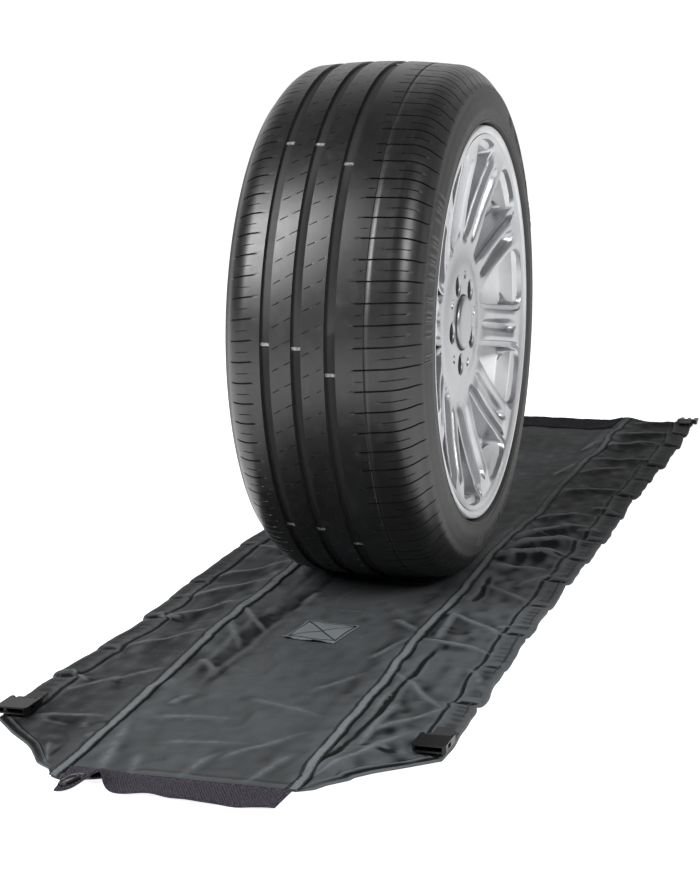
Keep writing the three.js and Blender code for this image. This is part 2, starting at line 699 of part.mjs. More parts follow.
function finish(color, roughness, metalness = 0) {
  return new THREE.MeshStandardMaterial({ color, roughness, metalness });
}
const RUBBER = finish(0x151517, 0.6);
const ALLOY = finish(0xc9ccd0, 0.3, 0.9);
const CAP_PAINT = finish(0xb4b6b9, 0.4, 0.7);
const SPRING_STEEL = finish(0x8c8f93, 0.35, 1);
const NYLON = finish(0x2b2b2e, 0.5);
const VALVE_RUBBER = finish(0x1b1b1c, 0.7);
const VALVE_CAP_PLASTIC = finish(0xb8b09c, 0.5);
const BRASS = finish(0xb08d4a, 0.35, 1);
const ZINC = finish(0x8e9092, 0.5, 0.8);
const COATED_CLOTH = finish(0x3a3d3f, 0.75);
const SEAM_TAPE = finish(0x4a4d50, 0.8);
const ELASTIC = finish(0x222224, 0.85);
const HOOK_TAPE = finish(0x2c2930, 0.9);
const LOOP_TAPE = finish(0x232226, 0.95);
const PATCH_CLOTH = finish(0x45484a, 0.8);
const WEBBING = finish(0x1d1d1f, 0.85);
const BUCKLE_PLASTIC = finish(0x131314, 0.45);

// ---------------------------------------------------------------- assembly

function named(name, geometry, material) {
  const mesh = new THREE.Mesh(geometry, material);
  mesh.name = name;
  return mesh;
}

function wheelGroup() {
  const wheel = new THREE.Group();
  wheel.position.z = AXLE_Z;
  wheel.add(
    named('tyre', tyreGeometry(), RUBBER),
    named('wheel_barrel', wheelBarrelGeometry(), ALLOY),
    named('wheel_spokes', wheelSpokesGeometry(), ALLOY),
    named('wheel_hub', wheelHubGeometry(), ALLOY),
    named('centre_cap', centreCapGeometry(), CAP_PAINT),
    named('cap_snap_ring', snapRingGeometry(), SPRING_STEEL),
    named('hub_centring_ring', centringRingGeometry(), NYLON),
    named('valve_stem', valveStemGeometry(), VALVE_RUBBER),
    named('valve_core', valveCoreGeometry(), BRASS),
    named('valve_cap', valveCapGeometry(), VALVE_CAP_PLASTIC),
    named('balance_weight_front', balanceWeightGeometry(24, 262), ZINC),
    named('balance_weight_rear', balanceWeightGeometry(-52, 205), ZINC),
  );
  return wheel;
}

function buckleGroup(side) {
  const word = side < 0 ? 'left' : 'right';
  const female = new THREE.Group();
  female.position.set(side * BUCKLE_X + drift(FEMALE_BAR_Y), FEMALE_BAR_Y, FEMALE_BAR_Z);
  female.add(named(`buckle_socket_${word}`, femaleBuckleGeometry(), BUCKLE_PLASTIC));
  const male = new THREE.Group();
  male.position.set(side * BUCKLE_X, MALE_BAR_Y, MALE_BAR_Z);
  male.rotation.z = Math.PI;
  male.add(
    named(`buckle_plug_${word}`, maleBaseGeometry(), BUCKLE_PLASTIC),
    named(`buckle_plug_${word}_arm_a`, maleArmGeometry(-1), BUCKLE_PLASTIC),
    named(`buckle_plug_${word}_arm_b`, maleArmGeometry(1), BUCKLE_PLASTIC),
  );
  const near = named(`webbing_near_${word}`, webbingGeometry(-1, FEMALE_BAR_Y, FEMALE_BAR_Z), WEBBING);
  near.position.x = female.position.x;
  const far = named(`webbing_far_${word}`, webbingGeometry(1, MALE_BAR_Y, MALE_BAR_Z), WEBBING);
  far.position.x = male.position.x;
  const group = new THREE.Group();
  group.add(female, male, near, far);
  return group;
}

function sockGroup() {
  const sock = new THREE.Group();
  sock.add(
    named('centre_panel', centrePanelGeometry(), COATED_CLOTH),
    named('hook_strip', hookStripGeometry(), HOOK_TAPE),
    named('loop_strip', loopStripGeometry(), LOOP_TAPE),
    named('reinforcement_patch', patchGeometry(), PATCH_CLOTH),
  );
  for (const side of [-1, 1]) {
    const word = side < 0 ? 'left' : 'right';
    sock.add(
      named(`${word}_seam_tape`, seamTapeGeometry(side), SEAM_TAPE),
      named(`${word}_seam_margin`, marginGeometry(side), COATED_CLOTH),
      named(`${word}_side_panel`, sidePanelGeometry(side), COATED_CLOTH),
      named(`${word}_hem_channel`, hemChannelGeometry(side), COATED_CLOTH),
      named(`${word}_elastic_cord`, elasticCordGeometry(side), ELASTIC),
      buckleGroup(side),
    );
  }
  return sock;
}

const assembly = new THREE.Group();
assembly.add(wheelGroup(), sockGroup());

export default assembly;
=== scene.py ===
# %% [markdown]
# # A car wheel standing on an opened-out snow sock
# The real thing is two objects together: a worn road tyre on a ten-spoke alloy wheel, and a textile
# cover that is wrapped round the tyre for grip, shown here unwrapped and lying flat.
# The solid frame comes first. It says where every piece is and what it turns or slides with, and this
# file gives each piece its visible shape and finish, in metres, in that same frame.

# %% Load the frame
import math

import bmesh
import bpy
import numpy as np
from mathutils import Matrix, Vector


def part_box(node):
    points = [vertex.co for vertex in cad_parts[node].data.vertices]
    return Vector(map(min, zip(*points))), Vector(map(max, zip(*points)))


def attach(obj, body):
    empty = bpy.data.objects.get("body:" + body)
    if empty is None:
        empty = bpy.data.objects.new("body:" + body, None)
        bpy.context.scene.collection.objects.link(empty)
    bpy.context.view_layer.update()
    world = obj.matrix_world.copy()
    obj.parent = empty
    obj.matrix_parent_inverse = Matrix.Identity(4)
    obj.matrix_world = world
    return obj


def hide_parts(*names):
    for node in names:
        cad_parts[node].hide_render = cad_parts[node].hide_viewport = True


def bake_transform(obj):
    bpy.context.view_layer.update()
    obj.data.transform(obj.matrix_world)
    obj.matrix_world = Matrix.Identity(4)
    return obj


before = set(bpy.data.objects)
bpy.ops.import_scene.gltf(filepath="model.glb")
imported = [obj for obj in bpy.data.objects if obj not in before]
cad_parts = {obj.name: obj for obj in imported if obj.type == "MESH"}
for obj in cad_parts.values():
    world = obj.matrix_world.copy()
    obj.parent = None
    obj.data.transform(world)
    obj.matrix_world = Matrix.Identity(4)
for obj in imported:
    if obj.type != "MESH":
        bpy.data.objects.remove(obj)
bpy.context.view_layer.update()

MM = 0.001

# %% [markdown]
# ## Camera
# The camera stands low in front of the near end of the sock and looks along it, past the wheel's face.
# A long lens keeps the far end from shrinking much. Its axes are written as three directions, because
# a direction is easier to check than three angles.

# %% The camera
eye = Vector((0.7801, -2.7299, 0.7358))
to_right = Vector((0.9561, 0.2929, -0.0091)).normalized()
ahead = Vector((-0.2893, 0.9384, -0.1891)).normalized()
upward = to_right.cross(ahead).normalized()
ahead = upward.cross(to_right)
camera = bpy.data.objects.new("camera", bpy.data.cameras.new("camera"))
camera.matrix_world = Matrix.Translation(eye) @ Matrix((to_right, upward, -ahead)).transposed().to_4x4()
camera.data.sensor_width = 36
camera.data.lens = 88.2
camera.data.clip_start = 0.05
bpy.context.scene.collection.objects.link(camera)
bpy.context.scene.camera = camera
print("camera is", round(eye.length, 2), "m from the contact patch")

# %% [markdown]
# ## Shader maths as plain expressions
# A material's pattern is arithmetic on numbers that vary over the surface. Wiring Math nodes by hand
# hides the sum, so a small class wraps a socket and adds the node that each operator stands for.
# Any other node comes from one method, which takes its type, its settings and what goes into it.


# %% A socket that does arithmetic
class Wire:
    def __init__(self, finish, socket):
        self.finish, self.socket = finish, socket

    def math(self, operation, *others):
        return self.finish.node("ShaderNodeMath", {"operation": operation}, dict(enumerate((self, *others))))

    def __add__(self, other):
        return self.math("ADD", other)

    __radd__ = __add__

    def __mul__(self, other):
        return self.math("MULTIPLY", other)

    __rmul__ = __mul__

    def __sub__(self, other):
        return self.math("SUBTRACT", other)

    def __rsub__(self, other):
        return self * -1 + other

    def __pow__(self, other):
        return self.math("POWER", other)

    def step(self, low, high):
        """0 below low, 1 above high, and smooth between them."""
        values = {"Value": self, "From Min": low, "From Max": high}
        return self.finish.node("ShaderNodeMapRange", {"interpolation_type": "SMOOTHSTEP"}, values)


class Finish:
    """A material, or the surround, whose nodes are added one expression at a time."""

    def __init__(self, name, tree=None, shader="Principled BSDF"):
        if tree is None:
            self.material = bpy.data.materials.new(name)
            self.material.use_nodes = True
            tree = self.material.node_tree
        self.nodes, self.links = tree.nodes, tree.links
        self.shader = self.nodes[shader]

    def node(self, kind, settings, values, output=0):
        made = self.nodes.new(kind)
        for key, value in settings.items():
            setattr(made, key, value)
        for key, value in values.items():
            self.plug(made.inputs[key], value)
        return Wire(self, made.outputs[output])

    def plug(self, socket, value):
        if isinstance(value, Wire):
            self.links.new(value.socket, socket)
        elif isinstance(value, tuple) and len(value) == 3 and socket.type == "RGBA":
            socket.default_value = (*value, 1)
        else:
            socket.default_value = value

    def place(self, kind="Object"):
        """The point on the piece at rest, in metres, or the direction of the surround."""
        return self.node("ShaderNodeTexCoord", {}, {}, kind)

    def stored(self, name):
        """A value that was kept on the mesh when it was made."""
        return self.node("ShaderNodeAttribute", {"attribute_name": name}, {}, "Fac")

    def stored_point(self, name):
        return self.node("ShaderNodeAttribute", {"attribute_name": name}, {}, "Vector")

    def scaled(self, point, factors):
        return self.node("ShaderNodeVectorMath", {"operation": "MULTIPLY"}, {0: point, 1: factors})

    def axis(self, point, letter):
        return self.node("ShaderNodeSeparateXYZ", {}, {0: point}, letter)

    def noise(self, point, scale, detail=2.0, roughness=0.5):
        values = {"Vector": point, "Scale": scale, "Detail": detail, "Roughness": roughness}
        return self.node("ShaderNodeTexNoise", {}, values, "Fac")

    def mix(self, share, first, second):
        """A colour that is the first where the share is 0 and the second where it is 1."""
        return self.node("ShaderNodeMix", {"data_type": "RGBA"}, {0: share, 6: first, 7: second}, 2)

    def bump(self, height, distance, strength=1.0, normal=None):
        values = {"Height": height, "Distance": distance, "Strength": strength}
        if normal is not None:
            values["Normal"] = normal
        return self.node("ShaderNodeBump", {}, values, "Normal")

    def surface(self, **values):
        for key, value in values.items():
            self.plug(self.shader.inputs[key.replace("_", " ")], value)
        return self.material


print("shader helpers ready")

# %% [markdown]
# ## Light and floor
# A product on a pale sweep. The surround is bright behind the wheel and above it, and much darker on
# the camera's side, because black rubber shows whatever stands in front of it and turns grey in a white
# room. One tall soft light on the left draws the sheen on the tread and rakes across the cloth, and
# a smaller one on the right fills the wheel's face.

# %% The studio
world = bpy.data.worlds.new("studio")
world.use_nodes = True
sweep = Finish("sweep", world.node_tree, "Background")
direction = sweep.place("Generated")
behind = sweep.axis(direction, "X") * ahead.x + sweep.axis(direction, "Y") * ahead.y
above = sweep.axis(direction, "Z").step(0.25, 0.95)
sweep.plug(sweep.shader.inputs["Color"], (1, 1, 1))
beside_face = sweep.axis(direction, "X").step(0.25, 0.9)
strength = 0.07 + behind.step(0.4, 0.9) * 0.97 + above * 0.08 + beside_face * 0.24
sweep.plug(sweep.shader.inputs["Strength"], strength)
bpy.context.scene.world = world
bpy.context.scene.view_settings.view_transform = "Standard"


def soft_light(name, place, aim, size, watts):
    """A soft rectangular light, given its width and height in metres."""
    lamp = bpy.data.objects.new(name, bpy.data.lights.new(name, "AREA"))
    lamp.data.shape, lamp.data.energy = "RECTANGLE", watts
    lamp.data.size, lamp.data.size_y = size
    lamp.location = place
    lamp.rotation_euler = (Vector(aim) - Vector(place)).to_track_quat("-Z", "Y").to_euler()
    bpy.context.scene.collection.objects.link(lamp)


soft_light("tall_key", (-1.55, -2.1, 2.1), (0, -0.25, 0.55), (0.8, 1.9), 108)
soft_light("right_fill", (2.5, -1.7, 2.1), (0.15, -0.5, 0.0), (0.9, 0.9), 62)

# %% [markdown]
# ## Meshes from grids
# Most pieces here are sheets or turned shapes, so each is a grid of points worked out with numpy.
# That keeps the edge loops where the shape needs them, which a sculpted or remeshed surface would not.


# %% Mesh helpers
def grid_faces(rows, columns, close_rows=False, close_columns=False):
    down = np.arange(rows if close_rows else rows - 1)[:, None]
    across = np.arange(columns if close_columns else columns - 1)[None, :]
    below, beside = (down + 1) % rows, (across + 1) % columns
    corners = [down * columns + across, below * columns + across, below * columns + beside,
               down * columns + beside]
    return np.stack(np.broadcast_arrays(*corners), -1).reshape(-1, 4)


def build(name, points, faces, finish=None, sharp=None, outward=True):
    """A smooth mesh object. Its faces turn outwards, and edges sharper than an angle stay crisp."""
    mesh = bpy.data.meshes.new(name)
    points = np.asarray(points, float).reshape(-1, 3).tolist()
    mesh.from_pydata(points, [], [list(map(int, f)) for f in faces])
    if outward:
        work = bmesh.new()
        work.from_mesh(mesh)
        bmesh.ops.recalc_face_normals(work, faces=work.faces)
        work.to_mesh(mesh)
        work.free()
    mesh.polygons.foreach_set("use_smooth", np.ones(len(mesh.polygons), bool))
    if sharp:
        mesh.set_sharp_from_angle(angle=math.radians(sharp))
    made = bpy.data.objects.new(name, mesh)
    bpy.context.scene.collection.objects.link(made)
    if finish:
        mesh.materials.append(finish)
    return made


def smooth(value, low, high):
    share = np.clip((value - low) / (high - low), 0, 1)
    return share * share * (3 - 2 * share)


def curve_through(value, pairs):
    """A value read from a short list of places and sizes, with soft corners."""
    places, sizes = zip(*pairs)
    spread = (places[-1] - places[0]) * 0.012
    return sum(np.interp(value + shift * spread, places, sizes) for shift in (-1, 0, 1)) / 3


class Ripple:
    """Smooth random numbers over a plane, the same on every run."""

    def __init__(self, seed):
        self.table = np.random.default_rng(seed).uniform(-1, 1, (64, 64))

    def __call__(self, u, v, size_u, size_v):
        a, b = np.asarray(u) / size_u, np.asarray(v) / size_v
        i, j = np.floor(a).astype(int), np.floor(b).astype(int)
        p, q = smooth(a - i, 0, 1), smooth(b - j, 0, 1)
        at = lambda di, dj: self.table[(i + di) % 64, (j + dj) % 64]
        return (at(0, 0) * (1 - p) + at(1, 0) * p) * (1 - q) + (at(0, 1) * (1 - p) + at(1, 1) * p) * q


floor_finish = Finish("pale_floor").surface(
    Base_Color=(0.9, 0.9, 0.9),
    Roughness=0.95,
    Specular_IOR_Level=0.05,
    Emission_Color=(1, 1, 1),
    Emission_Strength=0.88,
)
reach = 7.0
corners = [(-reach, -reach, 0), (reach, -reach, 0), (reach, reach, 0), (-reach, reach, 0)]
floor = build("floor", corners, [(0, 1, 2, 3)], floor_finish, outward=False)
floor.location.z = -0.0012
print("floor is", 2 * reach, "m across")

# %% [markdown]
# ## Wheel centre
# Every wheel piece is described by its distance along the axle, its radius and its angle about the
# axle. One helper turns those into points.

# %% The axle
tyre_low, tyre_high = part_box("tyre")
axle_z = (tyre_low.z + tyre_high.z) / 2
tyre_radius = (tyre_high.z - tyre_low.z) / 2
tyre_half = (tyre_high.x - tyre_low.x) / 2


def about_axle(x, radius, angle):
    """Points in metres from millimetres and an angle from +Y towards +Z."""
    x, radius, angle = np.broadcast_arrays(x, radius, angle)
    return np.stack([x * MM, radius * MM * np.cos(angle), axle_z + radius * MM * np.sin(angle)], -1)


def turned(name, outline, steps, finish=None, sharp=32):
    """An outline of (x, radius) pairs in millimetres, turned about the axle."""
    x, radius = np.array(outline, float).T
    angle = np.arange(steps) * 2 * math.pi / steps
    points = about_axle(x[:, None], radius[:, None], angle[None, :])
    return build(name, points, grid_faces(len(x), steps, True, True), finish, sharp)


print("axle is", round(axle_z, 4), "m up, tyre radius", round(tyre_radius, 4))

# %% [markdown]
# ## Tyre rubber
# Worn rubber is never plain black: dust sits in the pores, the tread is scuffed grey where it meets
# the road, grooves are matt with painted shade darkening their floors, and the flanks are browner and duller.
# Noises at different scales drive colour and roughness, together with four values kept on the mesh: how worn
# the surface is, how deep it lies and so how much painted shade it gets, how far it belongs to the flank, and
# where an edge catches the light. Painting a texture would give more control, but it would have to be
# unwrapped and painted again after a change.

# %% The rubber
rubber = Finish("worn_rubber")
point = rubber.place()
worn = rubber.stored("worn")
scuff = rubber.noise(point, 55, 5, 0.62)
dust = rubber.noise(point, 9, 4, 0.6)
streak = rubber.noise(rubber.scaled(point, (260, 14, 14)), 1, 3, 0.55)
black = rubber.mix(dust.step(0.35, 0.7), (0.0026, 0.0025, 0.0028), (0.005, 0.0048, 0.0047))
grey = rubber.mix(worn * scuff.step(0.5, 0.78) * 0.5, black, (0.022, 0.0225, 0.024))
rubber_colour = rubber.mix(worn * streak.step(0.6, 0.78) * 0.3, grey, (0.03, 0.031, 0.033))
deep_shade, flank_share = rubber.stored("deep_shade"), rubber.stored("flank")
rubber_colour = rubber.mix(flank_share * (0.55 + dust * 0.6), rubber_colour, (0.0155, 0.015, 0.0145))
# Painted shade: the groove floors darken towards black, patchily round the tyre.
rubber_colour = rubber.mix(deep_shade * (0.8 + dust.step(0.35, 0.6) * 0.2), rubber_colour, (0.0012, 0.0012, 0.0013))
rubber_colour = rubber.mix(rubber.stored("edge_light"), rubber_colour, (0.16, 0.165, 0.17))
pores = rubber.noise(point, 900, 2, 0.7)
rubber_relief = rubber.bump(scuff * 0.5 + pores * 0.2, 0.0002, 0.4)
rubber.surface(
    Base_Color=rubber_colour,
    Roughness=(0.3 + scuff * 0.16 + deep_shade * 0.5 + flank_share * 0.22).math("MINIMUM", 1.0),
    Specular_IOR_Level=0.62,
    Normal=rubber_relief,
)
print("rubber uses", len(rubber.nodes), "nodes")

# %% [markdown]
# ## Tyre
# The carcass is one turned shape, but the tread is what the eye reads: three grooves round it, fine
# cuts across each shoulder at 81 places, short slanted cuts in the ribs, and pale wear bars in the grooves.
# Cutting those with booleans would take minutes. Instead the grid's loops are laid where the cuts run,
# and the points between their walls are pressed in along the surface's own direction.

# %% The tread's outline
CUTS_ROUND = 81
CROWN_DROP = 4.8
SHOULDER_AT = 86.0
WIDEST_RADIUS = 275.0
GROOVE_EDGES = ((-70.0, -57.0), (-30.0, -17.0), (12.0, 26.0))
GROOVE_DEPTH = 4.0
MARK_PROUD, MARK_LIGHT = 1.1, 0.22
WEAR_BARS_ROUND = 8


def crown(x):
    return tyre_radius / MM - CROWN_DROP * (x / SHOULDER_AT) ** 2


tread_x = set(np.arange(-84, 85, 4.0))
for low, high in GROOVE_EDGES:
    tread_x -= {x for x in tread_x if low - 1.6 < x < high + 1.6}
    tread_x |= {low - 1.2, low, low + 0.5, low + 2.2, (low + high) / 2, high - 2.2, high - 0.5, high,
                high + 1.2}
for edge in (-53.5, -45.5, -38.5, -14.5, -6.5, 2.5, 8.5, 47.5, 50.5, 59.5, 61.5, 79.5):
    tread_x -= {x for x in tread_x if abs(x - edge) < 1.1}
    tread_x |= {edge - 0.5, edge + 0.5}
tread_x = np.array(sorted(tread_x))
shoulder_height = crown(SHOULDER_AT) - WIDEST_RADIUS
shoulder_width = tyre_half / MM - SHOULDER_AT
turn = np.radians(np.array(
                           [3, 8, 14, 20, 26, 31, 34, 37, 43, 50, 54, 56, 59, 63, 67, 71, 75, 79, 83, 87,
                            90]))
shoulder = np.stack([SHOULDER_AT + shoulder_width * np.sin(turn),
                     WIDEST_RADIUS + shoulder_height * np.cos(turn)], -1)
flank = np.array(
                 [(130.0, 271.5), (130.0, 270.2), (129.2, 269.6), (128.9, 267.8), (129.6, 267.2),
                  (129.3, 265.8), (127.6, 264.6), (124.5, 263.4), (120.0, 262.6), (116.0, 259.5),
                  (113.6, 255.0), (113.6, 242.2), ])
inside = np.array([(94, 243), (104, 262), (119, 276), (113, 302), (92, 317), (60, 325), (0, 329)])
print("tread has", len(tread_x), "loops and each shoulder", len(shoulder))

# %% [markdown]
# The outline runs from one bead over the tread to the other bead and back along the inside, so the
# tyre is one closed skin. Each cut is a product of two masks: where it runs across the tread, and which
# loops round the tyre it takes up. The flanks get two low ridges and rows of plain raised bars, which
# are lifted by the same depth table with its sign turned.

# %% The tyre's skin
right_side = np.vstack([shoulder, flank])
left_side = (right_side * (-1, 1))[::-1]
back = np.vstack([inside, (inside * (-1, 1))[-2::-1]])
outline = np.vstack([left_side, np.stack([tread_x, crown(tread_x)], -1), right_side, back])
outer_count = len(outline) - len(back)
x_mm, radius_mm = outline.T
tangent = np.roll(outline, -1, 0) - np.roll(outline, 1, 0)
normal = np.stack([-tangent[:, 1], tangent[:, 0]], -1) / np.linalg.norm(tangent, axis=1)[:, None]

share_round = np.array(
                       [0, 0.028, 0.042, 0.098, 0.112, 0.19, 0.31, 0.43, 0.515, 0.524, 0.556, 0.565, 0.68,
                        0.84])
IS_MAIN = np.isin(np.arange(len(share_round)), (2, 3))
IS_THIN = np.isin(np.arange(len(share_round)), (9, 10))
lean = curve_through(x_mm, [(-130, -0.55), (-108, -0.5), (-82, -0.38), (-57, -0.3), (-30, 0.25),
                            (-17, 0.5), (12, 1.05), (26, 1.3), (48, 1.42), (86, 1.5), (122, 1.62),
                            (130, 1.63)])
lean[outer_count:] = 0
step = 2 * math.pi / CUTS_ROUND
pitch_index = np.repeat(np.arange(CUTS_ROUND), len(share_round))
round_share = pitch_index + np.tile(share_round, CUTS_ROUND)
main, thin = np.tile(IS_MAIN, CUTS_ROUND), np.tile(IS_THIN, CUTS_ROUND)
angle = math.pi - (round_share[None, :] + lean[:, None]) * step


def across(low, high, soft=0.4):
    return smooth(x_mm, low - soft, low + soft) * (1 - smooth(x_mm, high - soft, high + soft))


on_tread = (radius_mm > 300) & (np.arange(len(outline)) < outer_count)
depth = np.zeros((len(outline), len(round_share)))


def press(profile, loops, amount):
    np.maximum(depth, (profile * on_tread)[:, None] * loops[None, :] * amount, out=depth)


every = np.ones(len(round_share))
alternate = (pitch_index % 2 == 0).astype(float)
for low, high in GROOVE_EDGES:
    press(((x_mm >= low + 0.4) & (x_mm <= high - 0.4)).astype(float), every, GROOVE_DEPTH)
press(across(-111, -81, 1.5), main * 1.0, 2.6)
press(across(-104, -88, 1.0), thin * 1.0, 1.2)
press(across(-53, -46), thin * 1.0, 1.5)
press(across(-38, -30), thin * 1.0, 1.4)
press(across(-14, -7), thin * 1.0, 1.4)
press(across(3, 8), thin * 1.0, 1.2)
press(across(51, 59), thin * alternate, 1.4)
press(across(48.5, 121, 2.5), main * 1.0, 3.2)
press(across(80, 110, 1.5), thin * 1.0, 1.6)
press(across(60.7, 62.3, 0.3), every, 1.3)
groove_shade_ripple = Ripple(7)
for inner, outer, high in ((305, 314.5, 1.5), (279, 283.5, 0.8)):
    ridge = ((radius_mm > inner) & (radius_mm < outer) & (np.abs(x_mm) > 108))[:, None]
    depth = np.where(ridge & (depth < 0.1), -high, depth)
# How much painted shade each groove floor gets, patchy round the tyre.
patchy = 0.45 + 0.55 * smooth(groove_shade_ripple(np.degrees(angle), x_mm[:, None] + 0 * angle, 31, 60), -0.3, 0.4)
deep_shade = np.clip(depth / 2.2, 0, 1) * patchy
flank_share = (smooth(np.abs(x_mm), 117, 126) * (np.arange(len(outline)) < outer_count))[:, None] + 0 * depth
flank_turn = np.mod(np.degrees(angle), 120)
mark_sector = (flank_turn > 20) & (flank_turn < 62) & (np.mod(flank_turn, 14) > 3.5)
on_flank = ((radius_mm > 284) & (radius_mm < 301) & (np.abs(x_mm) > 115))[:, None]
raised_loop = np.isin(np.tile(np.arange(len(share_round)), CUTS_ROUND), (2, 3, 5, 7, 9, 10, 12))
mark = on_flank & mark_sector & raised_loop[None, :]
depth = np.where(mark, -MARK_PROUD, depth)
edge_light = np.where(mark, MARK_LIGHT, 0.0)
sunk = outline[:, None, :] - normal[:, None, :] * depth[..., None]
tyre_points = about_axle(sunk[..., 0], sunk[..., 1], angle)
tyre_faces = grid_faces(len(outline), len(round_share), True, True)
tyre = build("tyre_carcass", tyre_points, tyre_faces, rubber.material, 38)
worn_value = on_tread[:, None] * np.clip(1 - depth / 0.8, 0, 1) * (1 - smooth(np.abs(x_mm), 96, 124))[:, None]
worn_value = worn_value * np.ones_like(depth)
for kept_name, values in (("worn", worn_value), ("edge_light", edge_light), ("deep_shade", deep_shade),
                          ("flank", flank_share)):
    kept = tyre.data.attributes.new(kept_name, "FLOAT", "POINT")
    kept.data.foreach_set("value", np.ascontiguousarray(values, np.float32).ravel())
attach(tyre, "wheel")
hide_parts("tyre")
bar_points, bar_faces = [], []
for (low, high), first in zip(GROOVE_EDGES, (2.3, 1.7, -3.5)):
    for k in range(WEAR_BARS_ROUND):
        middle = math.pi - math.radians(first + 360 / WEAR_BARS_ROUND * k)
        over = np.array([-0.36, -0.3, 0.3, 0.36])[:, None]
        rise = np.array([0.05, 1.1, 1.1, 0.05])[:, None]
        bar_x = np.linspace(low + 0.5, high - 0.5, 7)[None, :]
        bar_faces += (grid_faces(4, 7) + 28 * len(bar_points)).tolist()
        bar_top = crown(bar_x) - GROOVE_DEPTH + rise
        bar_points.append(about_axle(bar_x, bar_top, middle + np.radians(over)).reshape(-1, 3))
worn_edge = Finish("worn_bar")
bar_speck = worn_edge.noise(worn_edge.place(), 300, 3, 0.6)
bar_grey = worn_edge.mix(bar_speck.step(0.35, 0.65), (0.1, 0.1, 0.105), (0.26, 0.265, 0.27))
worn_edge.surface(Base_Color=bar_grey, Roughness=0.7)
wear_bars = build("wear_bars", np.concatenate(bar_points), bar_faces, worn_edge.material, 40)
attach(wear_bars, "wheel")
print("tyre:", len(tyre.data.polygons), "faces, deepest cut", round(float(depth.max()), 1), "mm")

# %% [markdown]
# ## Alloy
# The wheel is a casting under silver lacquer. Lacquered flakes are a metal that is a little rough, with
# a clear coat over it. The hub is a shade darker than the spokes, so a second tone fades in by the
# distance from the axle. Inside the barrel the lacquer is duller, and its colour is painted paler as painted
# light filling the barrel, so it has its own finish.

# %% The lacquered alloy
alloy = Finish("silver_lacquer")
point = alloy.place()
flake = alloy.noise(point, 1400, 1, 0.5)
haze = alloy.noise(point, 14, 3, 0.5)
silver = alloy.mix(haze.step(0.4, 0.75), (0.42, 0.427, 0.44), (0.34, 0.346, 0.36))
upright = alloy.axis(point, "Z") - axle_z
from_axle = (alloy.axis(point, "Y") ** 2 + upright * upright) ** 0.5
silver = alloy.mix((1 - from_axle.step(0.085, 0.15)) * 0.9, silver, (0.31, 0.315, 0.327))
alloy.surface(
    Base_Color=silver,
    Metallic=1.0,
    Roughness=0.3 + haze * 0.14,
    Coat_Weight=0.25,
    Coat_Roughness=0.08,
    Normal=alloy.bump(flake, 0.00015, 0.12),
)
# Painted light: the barrel's colour is paler than the face's to stand for light filling the barrel.
painted_light_lacquer = Finish("barrel_lacquer_painted_light")
film = painted_light_lacquer.noise(painted_light_lacquer.place(), 11, 4, 0.55)
painted_light_lacquer.surface(
    Base_Color=painted_light_lacquer.mix(film.step(0.35, 0.7), (0.56, 0.565, 0.575), (0.46, 0.465, 0.475)),
    Metallic=0.45,
    Roughness=0.42 + film * 0.14,
    Coat_Weight=0.15,
    Coat_Roughness=0.2,
    Normal=painted_light_lacquer.bump(film, 0.0002, 0.2),
)
print("alloy ready")

# %% [markdown]
# ## Barrel
# The barrel is the ring that holds the tyre: two lips, two bead seats and a drop well, with the valve's
# hole in the well's front wall. It is a turned outline with rounded lips, and the hole is a boolean,
# because it crosses the wall at a slant.

# %% The barrel
lip = [(126.6, 253.0), (126.8, 254.5), (126.8, 257.6), (126.3, 258.8), (125.2, 259.6), (123.4, 260.1),
       (120.8, 260.3), (117.5, 259.2), (115.4, 257.0), (114.4, 254.2)]
seat = [(114.3, 241.6), (111, 241.3), (91, 241.3), (88.5, 240.3), (69, 222.5), (66.5, 221.3)]
rear = [(-x, r) for x, r in (lip + seat)[::-1]]
rear_inside = [(-124.5, 250.0), (-121.5, 246.8), (-114.3, 236.0), (-111, 234.6), (-91, 234.3),
               (-68.5, 215.2), (-65.5, 214.3)]
front_inside = [(59, 214.3), (62, 214.7), (71, 216.3), (74, 218.2), (90.5, 233.0), (93.5, 234.4),
                (111, 234.8), (113.2, 236.2), (120.6, 246.2), (124.6, 250.6)]
rim_outline = lip + seat + rear + rear_inside + front_inside
barrel = turned("rim_barrel", rim_outline, 192, painted_light_lacquer.material, 30)
VALVE_HOLE = 5.8
VALVE_FOOT_X, VALVE_FOOT_RADIUS = 0.0793, 0.2243
valve_angle, slant = math.radians(153), math.sqrt(0.5)
valve_axis = Vector((slant, -slant * math.cos(valve_angle), -slant * math.sin(valve_angle)))
valve_foot = Vector((VALVE_FOOT_X, VALVE_FOOT_RADIUS * math.cos(valve_angle),
                     axle_z + VALVE_FOOT_RADIUS * math.sin(valve_angle)))


def cut_with(target, cutters):
    """Subtracts closed meshes from a piece and removes them."""
    for cutter in cutters:
        step_back = target.modifiers.new("cut", "BOOLEAN")
        step_back.operation, step_back.solver, step_back.object = "DIFFERENCE", "EXACT", cutter
    bpy.context.view_layer.update()
    done = target.evaluated_get(bpy.context.evaluated_depsgraph_get())
    fresh = bpy.data.meshes.new_from_object(done)
    target.modifiers.clear()
    target.data = fresh
    for cutter in cutters:
        bpy.data.objects.remove(cutter)


